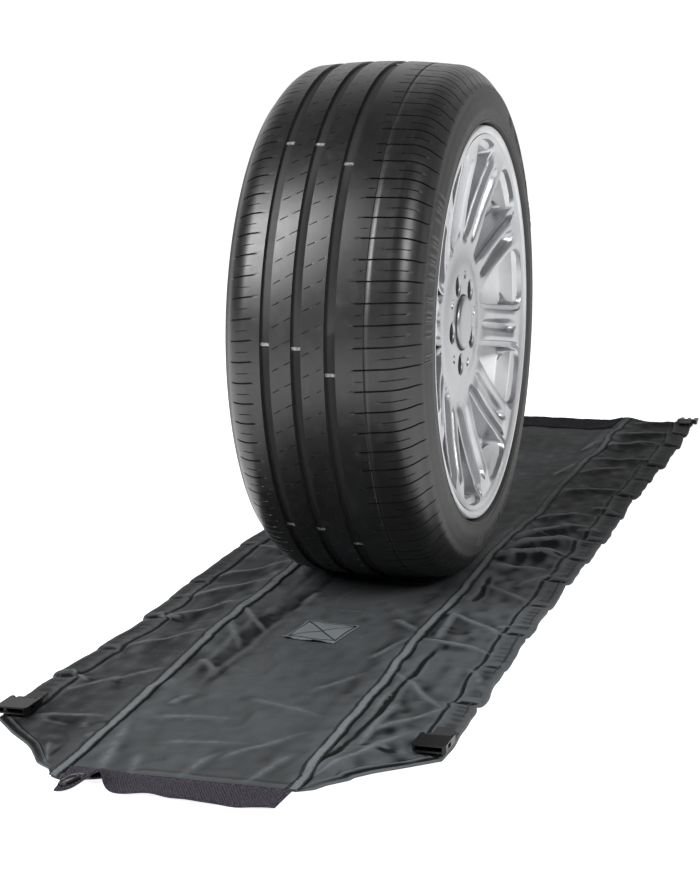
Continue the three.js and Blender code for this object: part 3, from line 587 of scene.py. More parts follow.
def along(name, outline, foot, axis, steps, finish=None, sharp=32):
    """An outline of (distance, radius) pairs in millimetres turned about any axis."""
    frame_turn = Vector((1, 0, 0)).rotation_difference(axis).to_matrix()
    place, radius = np.array(outline, float).T
    a = np.arange(steps) * 2 * math.pi / steps
    flat = np.stack(np.broadcast_arrays(place[:, None], radius[:, None] * np.cos(a),
                                        radius[:, None] * np.sin(a)), -1)
    points = flat.reshape(-1, 3) * MM @ np.array(frame_turn).T + np.array(foot)
    rings = len(place)
    faces = [tuple(f) for f in grid_faces(rings, steps, False, True)]
    faces += [tuple(range(steps)), tuple(range((rings - 1) * steps, rings * steps))]
    return build(name, points, faces, finish, sharp)


cut_with(barrel, [along("hole", [(-25, VALVE_HOLE), (20, VALVE_HOLE)], valve_foot, valve_axis, 24)])
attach(barrel, "wheel")
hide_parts("wheel_barrel")
print("barrel:", len(barrel.data.polygons), "faces")

# %% [markdown]
# ## Spokes and hub
# Ten spokes leave a flat hub. Each has two raised rails with a long hollow between them, and a lower
# ledge along each edge. One sector of 36 degrees is a grid whose columns follow those lines, so each
# step stays crisp. The sector is copied round, welded, and the bolt holes are cut at the end.

# %% One sector's front and back
SPOKES = 10
SPOKE_AT = math.radians(-9)
HALF_SECTOR = math.pi / SPOKES
row_radius = np.array(
                      [33.3, 34.6, 36, 42, 50, 60, 70, 78, 86, 94, 100, 104, 105, 107, 110, 114, 118, 121,
                       124, 128, 134, 142, 150, 160, 170, 180, 190, 198, 205, 210, 214, 217, 220, 223, 226,
                       228.5, 230.5, 232, 233.2, 234, 234.5, 237.5])
gap_half = np.interp(row_radius, [104, 110, 114, 118, 124, 134, 150, 190, 215, 223, 228.5, 230.5, 232,
                                  233.2, 234, 234.5],
                     [0, 0.9, 3.6, 5.8, 8.6, 12.4, 17.8, 30.2, 37.6, 39.6, 39.4, 38.2, 35.5, 30.5, 22, 0])
half_angle = HALF_SECTOR - gap_half / row_radius
column = np.array([0, 2, 4, 6, 7.6, 9, 10.2, 12, 15, 18, 20, 21.2, 21.9, 22.8, 24, 26.5, 28.6, 29.6, 30]) / 30
column = np.concatenate([-column[:0:-1], column])
theta = half_angle[:, None] * column[None, :]
edge_mm = (half_angle * row_radius)[:, None] * (1 - np.abs(column))[None, :]
across_mm = np.abs(column)[None, :] * 30
r = row_radius[:, None]
front = np.interp(row_radius, [33, 76, 84, 96, 112, 135, 160, 190, 205, 220, 232, 235, 238],
                  [97, 97, 95.4, 94.4, 95.2, 98.0, 102.2, 109.0, 113.0, 117.6, 121.6, 123.2, 124.6])[:, None]
front = front + 2.0 * smooth(r, 106, 130) * (1 - smooth(r, 214, 230))
ledge_on = smooth(r, 104, 122) * (1 - smooth(r, 222, 233))
ledge = smooth(across_mm, 21.2, 22.8) * ledge_on
hollow_half = np.interp(row_radius, [114, 118, 124, 134, 160, 190, 206, 214, 222],
                        [0.01, 6, 8.4, 9.6, 10.8, 12, 12, 10, 0.01])[:, None]
hollow_on = smooth(r, 114, 124) * (1 - smooth(r, 212, 224)) * (0.75 + 0.4 * smooth(r, 150, 205))
hollow = (1 - smooth(across_mm / hollow_half, 0.3, 1.0)) * hollow_on
rail = np.exp(-((across_mm - 16.5) / 4.5) ** 2) * smooth(r, 112, 140) * (1 - smooth(r, 210, 228))
round_edge = (1 - smooth(edge_mm, 0, 1.6)) * ((row_radius > 104) & (row_radius < 234.4))[:, None]
front_x = front - 6.5 * ledge - 9.0 * hollow + 1.6 * rail - 1.4 * round_edge
front_x = front_x - 1.2 * (1 - smooth(r, 33.3, 36))
front_r = r + 8.5 * smooth(r, 222, 234.5) + 2.6 * smooth(r, 234.5, 237.5)
back_line = np.interp(row_radius, [33.3, 78, 84, 104, 112, 150, 190, 220, 234.5, 238],
                      [35, 35, 42, 50, 54, 62, 72, 83, 91, 104])[:, None]
on_spoke = ((row_radius > 106) & (row_radius < 234))[:, None]
back_x = back_line + 0 * theta + 3.0 * (1 - smooth(edge_mm, 0, 5)) * on_spoke
print("a sector has", front_x.size, "points on its front")

# %% The wheel's face
rows, columns = theta.shape
walls = [i for i in range(rows - 1) if 104 <= row_radius[i] and row_radius[i + 1] <= 234.5]
sector_points, faces = [], []
for k in range(SPOKES):
    turn_by = SPOKE_AT + 2 * k * HALF_SECTOR
    base = k * 2 * rows * columns
    sector_points += [about_axle(front_x, front_r, theta + turn_by), about_axle(back_x, r, theta + turn_by)]
    top = grid_faces(rows, columns) + base
    faces += top.tolist() + (top[:, ::-1] + rows * columns).tolist()
    for i in walls:
        for edge, flip in ((0, 1), (columns - 1, -1)):
            a, b = base + i * columns + edge, base + (i + 1) * columns + edge
            faces.append([a, b, b + rows * columns, a + rows * columns][::flip])
    for i, flip in ((0, -1), (rows - 1, 1)):
        for j in range(columns - 1):
            a = base + i * columns + j
            faces.append([a, a + 1, a + 1 + rows * columns, a + rows * columns][::flip])
sector_points = np.concatenate([p.reshape(-1, 3) for p in sector_points])
face_piece = build("wheel_face", sector_points, faces, alloy.material)
work = bmesh.new()
work.from_mesh(face_piece.data)
bmesh.ops.remove_doubles(work, verts=work.verts, dist=2e-5)
bmesh.ops.dissolve_degenerate(work, edges=work.edges, dist=1e-6)
bmesh.ops.recalc_face_normals(work, faces=work.faces)
open_edges = sum(1 for e in work.edges if not e.is_manifold)
work.to_mesh(face_piece.data)
work.free()
print("wheel face:", len(face_piece.data.polygons), "faces,", open_edges, "open edges")

# %% [markdown]
# The five bolt holes have a chamfered mouth, a straight recess and a narrower hole behind a cone seat.
# Between them, five shallow scallops take weight out of the hub and catch the light.

# %% Bolt holes and scallops
bolt_outline = [(30, 7.5), (60.5, 7.5), (64, 12.4), (94.6, 13.0), (96.2, 14.2), (97.4, 15.6), (103, 15.6)]
scallop_outline = [(-7, 0.5), (-6, 3.2), (-3, 5.2), (0, 5.9), (3, 5.2), (6, 3.2), (7, 0.5)]
BOLTS = 5
BOLT_CIRCLE, SCALLOP_CIRCLE = 0.056, 0.0635
bolt_cutters = []
for k in range(BOLTS):
    a = math.radians(43 + 72 * k)
    foot = Vector((0, BOLT_CIRCLE * math.cos(a), axle_z + BOLT_CIRCLE * math.sin(a)))
    bolt_cutters.append(along(f"bolt{k}", bolt_outline, foot, Vector((1, 0, 0)), 40))
    a += math.radians(36)
    middle = Vector((0.0985, SCALLOP_CIRCLE * math.cos(a), axle_z + SCALLOP_CIRCLE * math.sin(a)))
    round_way = Vector((0, -math.sin(a), math.cos(a)))
    bolt_cutters.append(along(f"scallop{k}", scallop_outline, middle, round_way, 24))
cut_with(face_piece, bolt_cutters)
face_piece.data.polygons.foreach_set("use_smooth", np.ones(len(face_piece.data.polygons), bool))
face_piece.data.set_sharp_from_angle(angle=math.radians(34))
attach(face_piece, "wheel")
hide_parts("wheel_spokes", "wheel_hub")
print("wheel face with holes:", len(face_piece.data.polygons), "faces")

# %% [markdown]
# ## Centre cap and valve
# The cap is plain silver plastic, and a thin near-black ring round it is painted shade for the gap at its
# edge. The valve is black rubber with a threaded brass tube and a beige cap with ribs for the fingers. These
# are small turned shapes.

# %% The cap and the valve cap
cap_paint = Finish("cap_paint")
grain = cap_paint.noise(cap_paint.place(), 1600, 1, 0.5)
cap_paint.surface(Base_Color=(0.25, 0.253, 0.262), Metallic=0.85, Roughness=0.3 + grain * 0.1,
                  Coat_Weight=0.3, Coat_Roughness=0.12, Normal=cap_paint.bump(grain, 0.0001, 0.15))
cap_outline = [(102.2, 0.01), (102.25, 14), (102.2, 24), (102.0, 30), (101.5, 33), (100.6, 34.6),
               (99.2, 35.6), (97.5, 36), (97.3, 35.8), (97.3, 32.7), (82.3, 32.7), (82.3, 30.3),
               (97.6, 30.3), (99.2, 28), (99.4, 0.01)]
cap = turned("cap_shell", cap_outline, 96, cap_paint.material, 34)
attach(cap, "centre_cap")
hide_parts("centre_cap")
# A thin near-black ring at the cap's edge is painted shade for the gap round the cap.
cap_gap_shade = Finish("gap_painted_shade").surface(Base_Color=(0.02, 0.02, 0.022), Roughness=0.7)
ring_outline = [(97.1, 35.9), (98.2, 36.3), (98.3, 37.2), (97.1, 37.8)]
groove_ring = turned("cap_shadow_ring", ring_outline, 96, cap_gap_shade, 34)
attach(groove_ring, "wheel")
beige = Finish("beige_cap_plastic")
speck = beige.noise(beige.place(), 700, 3, 0.6)
beige.surface(Base_Color=beige.mix(speck.step(0.4, 0.7), (0.46, 0.42, 0.3), (0.6, 0.57, 0.45)),
              Roughness=0.5, Normal=beige.bump(speck, 0.0002, 0.3))
valve_cap_outline = [(25.0, 4.3), (25.0, 5.2), (25.6, 5.5), (33.6, 5.3), (34.3, 4.9), (35.6, 4.7),
                     (36.4, 4.0), (36.6, 2.5), (36.6, 0.4), (34.8, 0.4)]
valve_cap = along("valve_cap_shell", valve_cap_outline, valve_foot, valve_axis, 36, beige.material, 34)
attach(valve_cap, "valve_cap")
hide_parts("valve_cap")
print("cap and valve cap made")

# %% [markdown]
# ## Small hardware that keeps its solid
# The snap ring, centring ring, weights, valve stem and core already have the right shape, so each keeps
# its mesh. A bevel softens the edges, and each gets its own finish.


# %% Finishes for the small pieces
def plain_finish(name, colour, roughness, metallic=0.0, grain_size=600, relief=0.0003, shine=0.5):
    made = Finish(name)
    grain = made.noise(made.place(), grain_size, 3, 0.6)
    darker = tuple(c * 0.8 for c in colour)
    made.surface(
        Base_Color=made.mix(grain.step(0.35, 0.7), colour, darker),
        Metallic=metallic,
        Roughness=roughness + grain * 0.12,
        Specular_IOR_Level=shine,
        Normal=made.bump(grain, relief, 0.35),
    )
    return made.material


def dress(node, finish, bevel=0.0):
    """Gives a solid that stays visible its finish and softer edges."""
    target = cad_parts[node]
    target.data.materials.clear()
    target.data.materials.append(finish)
    if bevel:
        soften = target.modifiers.new("soft_edges", "BEVEL")
        soften.width, soften.segments, soften.limit_method = bevel, 2, "ANGLE"
        soften.angle_limit = math.radians(35)
        soften.harden_normals = False


dress("cap_snap_ring", plain_finish("spring_wire", (0.45, 0.46, 0.48), 0.3, 1.0))
dress("hub_centring_ring", plain_finish("moulded_nylon", (0.02, 0.02, 0.022), 0.5), 0.0006)
dress("valve_stem", plain_finish("valve_rubber", (0.013, 0.013, 0.014), 0.65), 0.0004)
dress("valve_core", plain_finish("brass", (0.62, 0.44, 0.18), 0.3, 1.0))
zinc = plain_finish("weight_zinc", (0.42, 0.43, 0.44), 0.48, 0.9, 300, 0.0006)
for weight in ("balance_weight_front", "balance_weight_rear"):
    dress(weight, zinc, 0.0006)
print("small hardware dressed")

# %% [markdown]
# ## Coated cloth
# The sock is woven nylon with a rubbery coat, a dark grey with a little teal in it. Where it has been
# creased the coat has rubbed to a lighter line, and hollows and stitch lines get painted shade. The weave is
# two sine waves on the cloth's own flat coordinates, so it bends with the cloth. A value kept on the
# mesh says how worn a point is and, below zero, how much painted shade darkens it; another lightens the near
# half, partly as dust and partly as painted light.

# %% The cloth
CLOTH_THICK = 1.3


def lighter(colour, times):
    return tuple(c * times for c in colour)


def woven(name, light, dark, thread_mm, rub_gain=0.6, gloss=0.62, relief=0.00018, painted_glints=0.0):
    made = Finish(name)
    flat = made.stored_point("flat")
    across, lengthwise = made.axis(flat, "X"), made.axis(flat, "Y")
    turns = 2 * math.pi / (thread_mm * MM)
    weave = (across * turns).math("SINE") * (lengthwise * turns).math("SINE")
    cloud = made.noise(flat, 6, 4, 0.55)
    fine = made.noise(flat, 70, 4, 0.65)
    scratch = made.noise(made.scaled(flat, (230, 34, 1)), 1, 3, 0.6)
    crumple = (made.noise(flat, 19, 3, 0.5) - 0.5).math("ABSOLUTE")
    rubbed_and_shaded = made.stored("rubbed_and_shaded")
    worn, shaded = rubbed_and_shaded.math("MAXIMUM", 0.0), (rubbed_and_shaded * -1).math("MAXIMUM", 0.0)
    base = made.mix(cloud.step(0.36, 0.64), dark, light)
    # The near half lightens, partly as dust and partly as painted light.
    base = made.mix(made.stored("dust_and_painted_light") * (cloud * 0.5 + 0.75), base, lighter(light, 2.2))
    dusty = made.mix(fine.step(0.56, 0.78) * 0.3, base, lighter(light, 1.8))
    scratched = made.mix(scratch.step(0.64, 0.74) * 0.4, dusty, lighter(light, 4))
    # Tiny bright points on the hook tape are painted glints.
    if painted_glints:
        sparkle = made.noise(made.scaled(flat, (1.0, 1.5, 1)), 270, 1, 0.5)
        scratched = made.mix(sparkle.step(0.54, 0.62) * painted_glints, scratched, lighter(light, 7))
    rub_share = (worn * fine.step(0.2, 0.6) * rub_gain).math("MINIMUM", 1.0)
    colour = made.mix(rub_share, scratched, lighter(light, 5))
    # Painted shade: below zero the colour darkens towards near black.
    colour = made.mix((shaded * 1.5).math("MINIMUM", 1.0) * 0.94, colour, lighter(dark, 0.1))
    height = made.bump(fine, 0.0016, 0.35, made.bump(crumple, 0.006, 0.5))
    made.surface(Base_Color=colour, Roughness=gloss + cloud * 0.1 + fine * 0.08, Specular_IOR_Level=0.12,
                 Normal=made.bump(weave, relief, 0.35, height))
    return made.material


coated_cloth = woven("coated_cloth", (0.032, 0.0345, 0.0365), (0.0125, 0.0135, 0.0145), 1.6)
tape_cloth = woven("seam_tape_cloth", (0.062, 0.068, 0.071), (0.04, 0.044, 0.046), 1.0, 0.5, 0.7)
patch_cloth = woven("patch_cloth", (0.075, 0.082, 0.086), (0.056, 0.061, 0.064), 1.2, 0.4, 0.7)
print("cloth finishes:", coated_cloth.name, tape_cloth.name, patch_cloth.name)

# %% [markdown]
# ## How the sock lies
# The cloth was folded in a pouch and is now pulled flat, so it keeps creases and it puckers where
# elastic and seams are tighter than the cloth. One height function says how far the cloth is off the
# floor anywhere. Every layer sewn on it reads the same function, so the layers stay together.
# It never rises above what the tyre clears along its track.

# %% Where the seams and edges run
SEAM_AT = 122.0
CORNER_AT = -735.0
near_end, far_end = (v / MM for v in (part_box("centre_panel")[0].y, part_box("centre_panel")[1].y))


broad, small = Ripple(11), Ripple(23)


def drift(y):
    return 19.5 * np.maximum(0, (-300 - y) / 558) ** 1.4


def wander(y, side):
    return bend(y, side) + 1.5 * small(y, 70 * side + 0 * y, 33, 9) + 0.6 * small(y, 90 * side + 0 * y, 11, 9)


def bend(y, side):
    """The long bends and the sharper jogs of a seam that was sewn by hand."""
    if side < 0:
        return curve_through(y, [(-860, 0), (-640, -1), (-300, 1), (0, 0), (400, -3), (800, 3), (1165, 0)])
    return curve_through(y, [(-860, 0), (-600, 5), (-500, 6.5), (-400, 4), (-348, 5), (-332, 0),
                             (-200, 2), (0, -1), (300, -2), (325, 3), (480, 1), (505, -3), (650, -1),
                             (780, -4), (870, 7), (960, 3), (990, -3), (1040, 3), (1165, 4)])


def seam(y, side):
    """Where a seam runs, with the wander let die out at the hook strip."""
    return side * SEAM_AT + drift(y) + wander(y, side)


NOTCHES = {
    -1: [(-583, 7), (-470, 3), (-333, 9), (-236, 3), (-150, 4), (60, 4), (210, 5), (380, 4), (560, 5),
         (720, 4), (905, 5)],
    1: [(-557, 8), (-420, 3), (-282, 6), (-150, 4), (-23, 6), (96, 5), (214, 6), (372, 5), (512, 7),
        (640, 4), (752, 8), (930, 6), (1040, 5)],
}


def outer_edge(y, side):
    """The hem's outer edge: long bends, a fine gather, and a step where a fold has been pinched."""
    gather = 0.5 * np.sin(y / 11.0 + 2 * np.sin(y / 47.0)) + 0.7 * small(y, 30 * side + 0 * y, 24, 9)
    for at, deep_by in NOTCHES[side]:
        step_in = 0.62 * smooth(y, at - 1.5, at + 2) * (1 - smooth(y, at + 12, at + 95))
        gather = gather + deep_by * (0.5 * np.exp(-np.abs((y - at) / 7)) - step_in)
    gather = gather * smooth(y, CORNER_AT, CORNER_AT + 40)
    if side < 0:
        line = curve_through(y, [(-735, -236), (-680, -240), (-590, -244), (-575, -241), (-450, -237),
                                 (-400, -236), (-333, -232), (-280, -236), (-200, -241), (-100, -245),
                                 (100, -249), (400, -246), (700, -250), (1000, -247), (1165, -247)])
        slant = np.interp(y, [-858, -846, -838, -800, -770, -735], [-105, -118, -137, -170, -204, -236])
        return np.where(y < CORNER_AT, slant, line + gather)
    line = curve_through(y, [(-735, 259), (-700, 262), (-600, 257), (-540, 255), (-400, 253), (-280, 248),
                             (-100, 249), (-23, 246), (100, 249), (320, 251), (500, 244), (600, 249),
                             (740, 247), (765, 251), (930, 251), (1100, 246), (1165, 244)])
    slant = np.interp(y, [-860, -848, -833, -813, -805, -787, -760, -735],
                      [141, 160, 168, 186, 188, 203, 233, 259])
    return np.where(y < CORNER_AT, slant, line - gather)


def pull_near(x, y):
    """The near end is drawn forward at its left corner, and every layer sewn there goes with it."""
    most = np.interp(x, [-240, -160, -137, -118, -100, -90, -60, -20], [0, 4, 12, 17, 28, 32, 20, 0])
    return y - most * smooth(-y, 720, 856)


print("sock runs from", near_end, "to", far_end)

# %% [markdown]
# A crease is a straight ridge that is sharp on top and dies out at both ends. A few dozen of them, each
# a line, a height and a width, give the cloth its character; smooth random ripples fill in the rest.

# %% Creases and ripples
CREASES = [
    # centre panel
    (-66, -590, -62, -150, 0.9, 6), (-93, -560, -90, -180, 0.8, 7), (-120, -270, -66, -352, 2.4, 9),
    (-118, -330, -70, -430, 1.6, 9), (-74, -640, -60, -605, 1.6, 6), (60, -560, 108, -470, 1.2, 9),
    (40, -800, 104, -690, 1.5, 12), (-60, -850, -96, -700, 2.0, 12), (90, -420, 118, -340, 2.0, 9),
    (88, 640, 118, 760, 2.2, 12), (-112, 250, -96, 420, 2.0, 12), (92, 860, 114, 930, 2.5, 10),
    (20, -860, 34, -770, 1.6, 10), (86, -858, 112, -760, 1.8, 10), (-30, -858, -44, -790, 1.4, 9),
    (-40, -760, 60, -742, 1.6, 16), (-80, -690, 20, -665, 1.5, 14), (0, -600, 110, -640, 1.4, 15),
    (-100, -480, -66, -520, 2.0, 8), (70, -250, 112, -300, 2.2, 9), (-58, -148, -64, -210, 1.6, 7),
    # right panel, gathered along its seam
    (171, -732, 169, -560, 3.6, 10), (160, -720, 156, -350, -2.6, 3.2), (148, -150, 145, -20, -2.8, 3.2),
    (152, -610, 160, -480, 3.0, 9), (136, -840, 158, -700, -2.0, 3), (148, -330, 142, -200, 2.8, 8),
    (128, 60, 222, 118, 12.0, 13), (130, 110, 236, 205, 13.0, 14), (128, 168, 218, 305, 10.0, 13),
    (132, 20, 205, 40, 4.0, 14),
    (128, 320, 205, 372, 6.0, 13), (130, 500, 232, 560, 6.5, 15), (128, 650, 200, 735, 4.0, 14),
    (132, 775, 240, 800, 5.0, 14), (128, 880, 215, 960, 6.0, 15), (130, 985, 240, 1050, 6.5, 15),
    (132, -60, 226, -140, 4.0, 14), (130, -215, 232, -300, 3.6, 14), (128, -340, 238, -372, 4.0, 12),
    (132, -470, 226, -590, 2.6, 13), (172, -690, 232, -560, 2.8, 14), (150, -820, 214, -660, 3.0, 14),
    (182, -60, 238, 30, 3.2, 15), (196, 420, 246, 380, 3.6, 12), (205, 250, 246, 262, 4.5, 11),
    (214, -430, 252, -520, 3.0, 10), (205, -260, 250, -240, 3.2, 11), (140, 1120, 238, 1150, 5.0, 14),
    # left panel
    (-128, -40, -236, -130, 4.5, 17), (-128, -130, -232, -250, 4.0, 17), (-126, -250, -226, -338, 4.4, 15),
    (-130, -380, -222, -470, 2.8, 15), (-126, -520, -216, -640, 2.4, 15), (-124, -700, -206, -720, 2.2, 13),
    (-150, 40, -244, 60, 5.0, 18), (-130, 150, -238, 260, 5.0, 18), (-128, 400, -235, 470, 4.0, 17),
    (-132, 620, -240, 700, 4.5, 17), (-130, 880, -236, 930, 4.0, 17), (-196, -590, -240, -560, 3.0, 10),
    (-190, -320, -236, -350, 4.0, 10), (-150, -790, -120, -848, 1.8, 10),
]


def crease_height(x, y):
    """The creases' height, a worn lighter line along each raised crease and painted shade along each sunken
    one.
    """
    total, rubbed_and_shaded = np.zeros(np.shape(x)), np.zeros(np.shape(x))
    for x0, y0, x1, y1, high, wide in CREASES:
        run = math.hypot(x1 - x0, y1 - y0)
        along_it = ((x - x0) * (x1 - x0) + (y - y0) * (y1 - y0)) / run
        aside = ((x - x0) * (y1 - y0) - (y - y0) * (x1 - x0)) / run
        aside = aside + 3.5 * small(along_it + x0, y0 + 0 * x, 38, 50)
        fade = smooth(along_it, -6, run * 0.25) * (1 - smooth(along_it, run * 0.6, run + 8))
        total += high * fade * np.exp(-np.abs(aside / wide) ** 1.25)
        # Sunken creases carry painted shade along their line; raised ones a worn lighter line.
        strength = min(1.0, high / 4) if high > 0 else -0.8
        rubbed_and_shaded += fade * np.exp(-((aside / 1.9) ** 2)) * strength
    return total, rubbed_and_shaded


def tyre_clearance(x):
    """How far the tyre's skin is above the cloth at its lowest, across its track."""
    flat_part = CROWN_DROP * (x / SHOULDER_AT) ** 2
    bend = np.sqrt(np.clip(1 - ((np.abs(x) - SHOULDER_AT) / shoulder_width) ** 2, 0, 1))
    round_part = CROWN_DROP + shoulder_height * (1 - bend)
    inside = np.where(np.abs(x) < SHOULDER_AT, flat_part, round_part)
    return np.where(np.abs(x) > 130, 60, inside)


def lift(x, y):
    """How far the cloth's underside is above the floor, in millimetres, and the wear and painted shade at
    each point.
    """
    own = x - drift(y)
    left = curve_through(y, [(-860, 0), (-640, 0.4), (-500, 3), (-350, 6), (-200, 9.5), (-100, 11.5),
                             (20, 11.5), (120, 8), (250, 4.5), (400, 3), (800, 2), (1165, 2)])
    right = curve_through(y, [(-860, 0.5), (-600, 2), (-350, 4), (-300, 2.4), (-100, 4), (0, 6),
                              (60, 10.5), (120, 8.5), (200, 5), (318, 6.5), (338, 2), (498, 5.5),
                              (520, 2), (780, 3), (870, 6), (1000, 7), (1040, 3), (1165, 8)])
    ramp = np.where(own > -SEAM_AT, np.clip((-66 - own) / (SEAM_AT - 66), 0, 1),
                    1 - smooth(-own, SEAM_AT, 176))
    bank = np.where(own < SEAM_AT, smooth(own, 88, SEAM_AT), 1 - smooth(own, SEAM_AT, 168))
    creases, rubbed_and_shaded = crease_height(x, y)
    outside = smooth(np.abs(own), 60, 130)
    waves = 2.6 * (broad(x, y, 62, 95) + 0.55) * outside + (0.5 + 0.6 * outside) * (small(x, y, 17, 26) + 0.4)
    waves = waves + 0.9 * (1 - outside) * (broad(x + 900, y, 48, 120) + 0.3)
    raw = left * ramp + right * bank + 1.35 * creases + np.maximum(waves, 0)
    near_strip = smooth(y, near_end, near_end + 60)
    raw = raw * (0.25 + 0.75 * near_strip)
    tracked = smooth(y, -330, -215) * (1 - smooth(y, 745, 860))
    limit = tyre_clearance(x) * 0.92
    limit = limit * tracked + 60 * (1 - tracked)
    # Painted shade on the slope up to the left seam, and a painted shadow line beside each seam tape.
    shaded_slope = smooth(own, -100, -90) * (1 - smooth(own, -66, -60))
    shaded_slope = shaded_slope * smooth(y, -590, -540) * (1 - smooth(y, -200, -140))
    from_tape = np.minimum(np.abs(x - seam(y, -1)), np.abs(x - seam(y, 1)))
    in_shade = 0.9 * np.exp(-(((from_tape - 7.2) / 1.1) ** 2))
    return np.clip(raw, 0, limit), rubbed_and_shaded - 0.3 * shaded_slope - in_shade


def cloth_skin(name, x, y, top, bottom, rubbed_and_shaded, finish, sewn=True, shade_by_curve_gain=0.0):
    """A closed sheet from two surfaces over one grid, in millimetres.

    Ridges wear lighter, hollows and the far right get painted shade, the near half a tone of dust and painted
    light.
    """
    count_rows, count_columns = x.shape
    pulled = pull_near(x, y) if sewn else y
    across_step, along_step = np.gradient(x, axis=1), np.gradient(y, axis=0)
    slope_x, slope_y = np.gradient(top, axis=1) / across_step, np.gradient(top, axis=0) / along_step
    curvature = np.gradient(slope_x, axis=1) / across_step + np.gradient(slope_y, axis=0) / along_step
    # Painted shade in the hollows of the cloth and a worn lighter tone on its ridges, from the curvature.
    rubbed_and_shaded = rubbed_and_shaded + shade_by_curve_gain * np.clip(-16 * curvature, -0.9, 0.5)
    # The near half, most in the centre and on the right, is lightened, partly as dust and partly as painted
    # light.
    near_half = 1 - smooth(y, 0, 420)
    dust_and_painted_light = near_half * (0.1 + 0.62 * smooth(x, -150, -105) + 0.18 * smooth(x, 110, 150))
    # Painted shade over the far right of the cloth.
    rubbed_and_shaded = rubbed_and_shaded - 0.35 * smooth(y, 250, 560) * smooth(x, 120, 170)
    points = np.concatenate([np.stack([x, pulled, z], -1).reshape(-1, 3) for z in (top, bottom)])
    top_faces = grid_faces(count_rows, count_columns)
    half = count_rows * count_columns
    faces = top_faces.tolist() + (top_faces[:, ::-1] + half).tolist()
    index = np.arange(half).reshape(count_rows, count_columns)
    rim = np.concatenate([index[:, 0], index[-1, 1:], index[-2::-1, -1], index[0, -2:0:-1]])
    following = np.roll(rim, -1)
    faces += np.stack([rim, following, following + half, rim + half], -1).tolist()
    made = build(name, points * MM, faces, finish, 50)
    flat = np.stack([x, y, 0 * x], -1).reshape(-1, 3) * MM
    kept = made.data.attributes.new("flat", "FLOAT_VECTOR", "POINT")
    kept.data.foreach_set("vector", np.concatenate([flat, flat + 0.5]).astype(np.float32).ravel())
    for kind, shares in (("rubbed_and_shaded", rubbed_and_shaded), ("dust_and_painted_light", dust_and_painted_light)):
        values = np.concatenate([shares.ravel(), 0 * shares.ravel()]).astype(np.float32)
        made.data.attributes.new(kind, "FLOAT", "POINT").data.foreach_set("value", values)
    return made


print(len(CREASES), "creases")

# %% [markdown]
# ## Centre panel
# The strip that goes under the tread is one flat length of cloth between the two seams. Its ends are
# turned in and stitched, which shows as a slightly thicker band.

# %% The centre panel
rows_y = np.linspace(near_end, far_end, 560)
BETWEEN_SEAMS = 2 * SEAM_AT
TURNED_IN = 0.7
beside_tape = np.array([0, 4.5, 6.2, 7.0, 7.8, 8.8, 10.2])
at_left = beside_tape / BETWEEN_SEAMS
columns_u = np.concatenate([at_left, np.linspace(0.055, 0.945, 62), 1 - at_left[::-1]])
Y = rows_y[:, None] + 0 * columns_u[None, :]
X = seam(Y, -1) + (seam(Y, 1) - seam(Y, -1)) * columns_u[None, :]
height, rub_and_shade = lift(X, Y)
turned_in = TURNED_IN * (smooth(-Y, -near_end - 14, -near_end - 12.5)
                         + smooth(Y, far_end - 16, far_end - 14.5))
top = height + CLOTH_THICK + turned_in
centre_cloth = cloth_skin("centre_cloth", X, Y, top, height, rub_and_shade, coated_cloth, shade_by_curve_gain=1.0)
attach(centre_cloth, "sock_centre")
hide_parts("centre_panel")
print("centre cloth:", len(centre_cloth.data.polygons), "faces")

# %% [markdown]
# ## Side panels and their hems
# Each side panel runs from a seam to a hem that holds the elastic. The hem is a low tube, with small
# puckers across it and a pinched notch here and there, because the elastic is shorter than the cloth.

# %% The side panels
SIDE_BODY = {-1: "left_side", 1: "right_side"}
WORD = {-1: "left", 1: "right"}
PANEL_WIDE = 96
tube_share = np.array([0.0, 0.035, 0.1, 0.25, 0.42, 0.6, 0.78, 0.9, 0.97, 1.0])


def hem_inner(y, side):
    """Where the hem is stitched down: 30 mm inside its edge, or 14 mm along the slanted near edge."""
    width = np.where(y < CORNER_AT, 14.0, 14 + 16 * smooth(y, CORNER_AT, CORNER_AT + 8))
    edge, start = outer_edge(y, side), seam(y, side)
    return edge - side * np.minimum(width, 0.6 * np.abs(edge - start))


def hem_rise(y, side):
    """How high the hem's tube stands."""
    puckers = 0.12 * np.sin(y / 3.1 + 3 * np.sin(y / 31.0)) + 0.5 * small(y, 40 * side + 0 * y, 23, 9)
    for at, deep_by in NOTCHES[side]:
        pinch, swell = np.exp(-((y - at) / 5.0) ** 2), np.exp(-((y - at - 11) / 9.0) ** 2)
        puckers = puckers - 0.28 * deep_by * pinch + 0.3 * deep_by * swell
    return smooth(y, CORNER_AT, CORNER_AT + 25) * (2.5 + puckers)


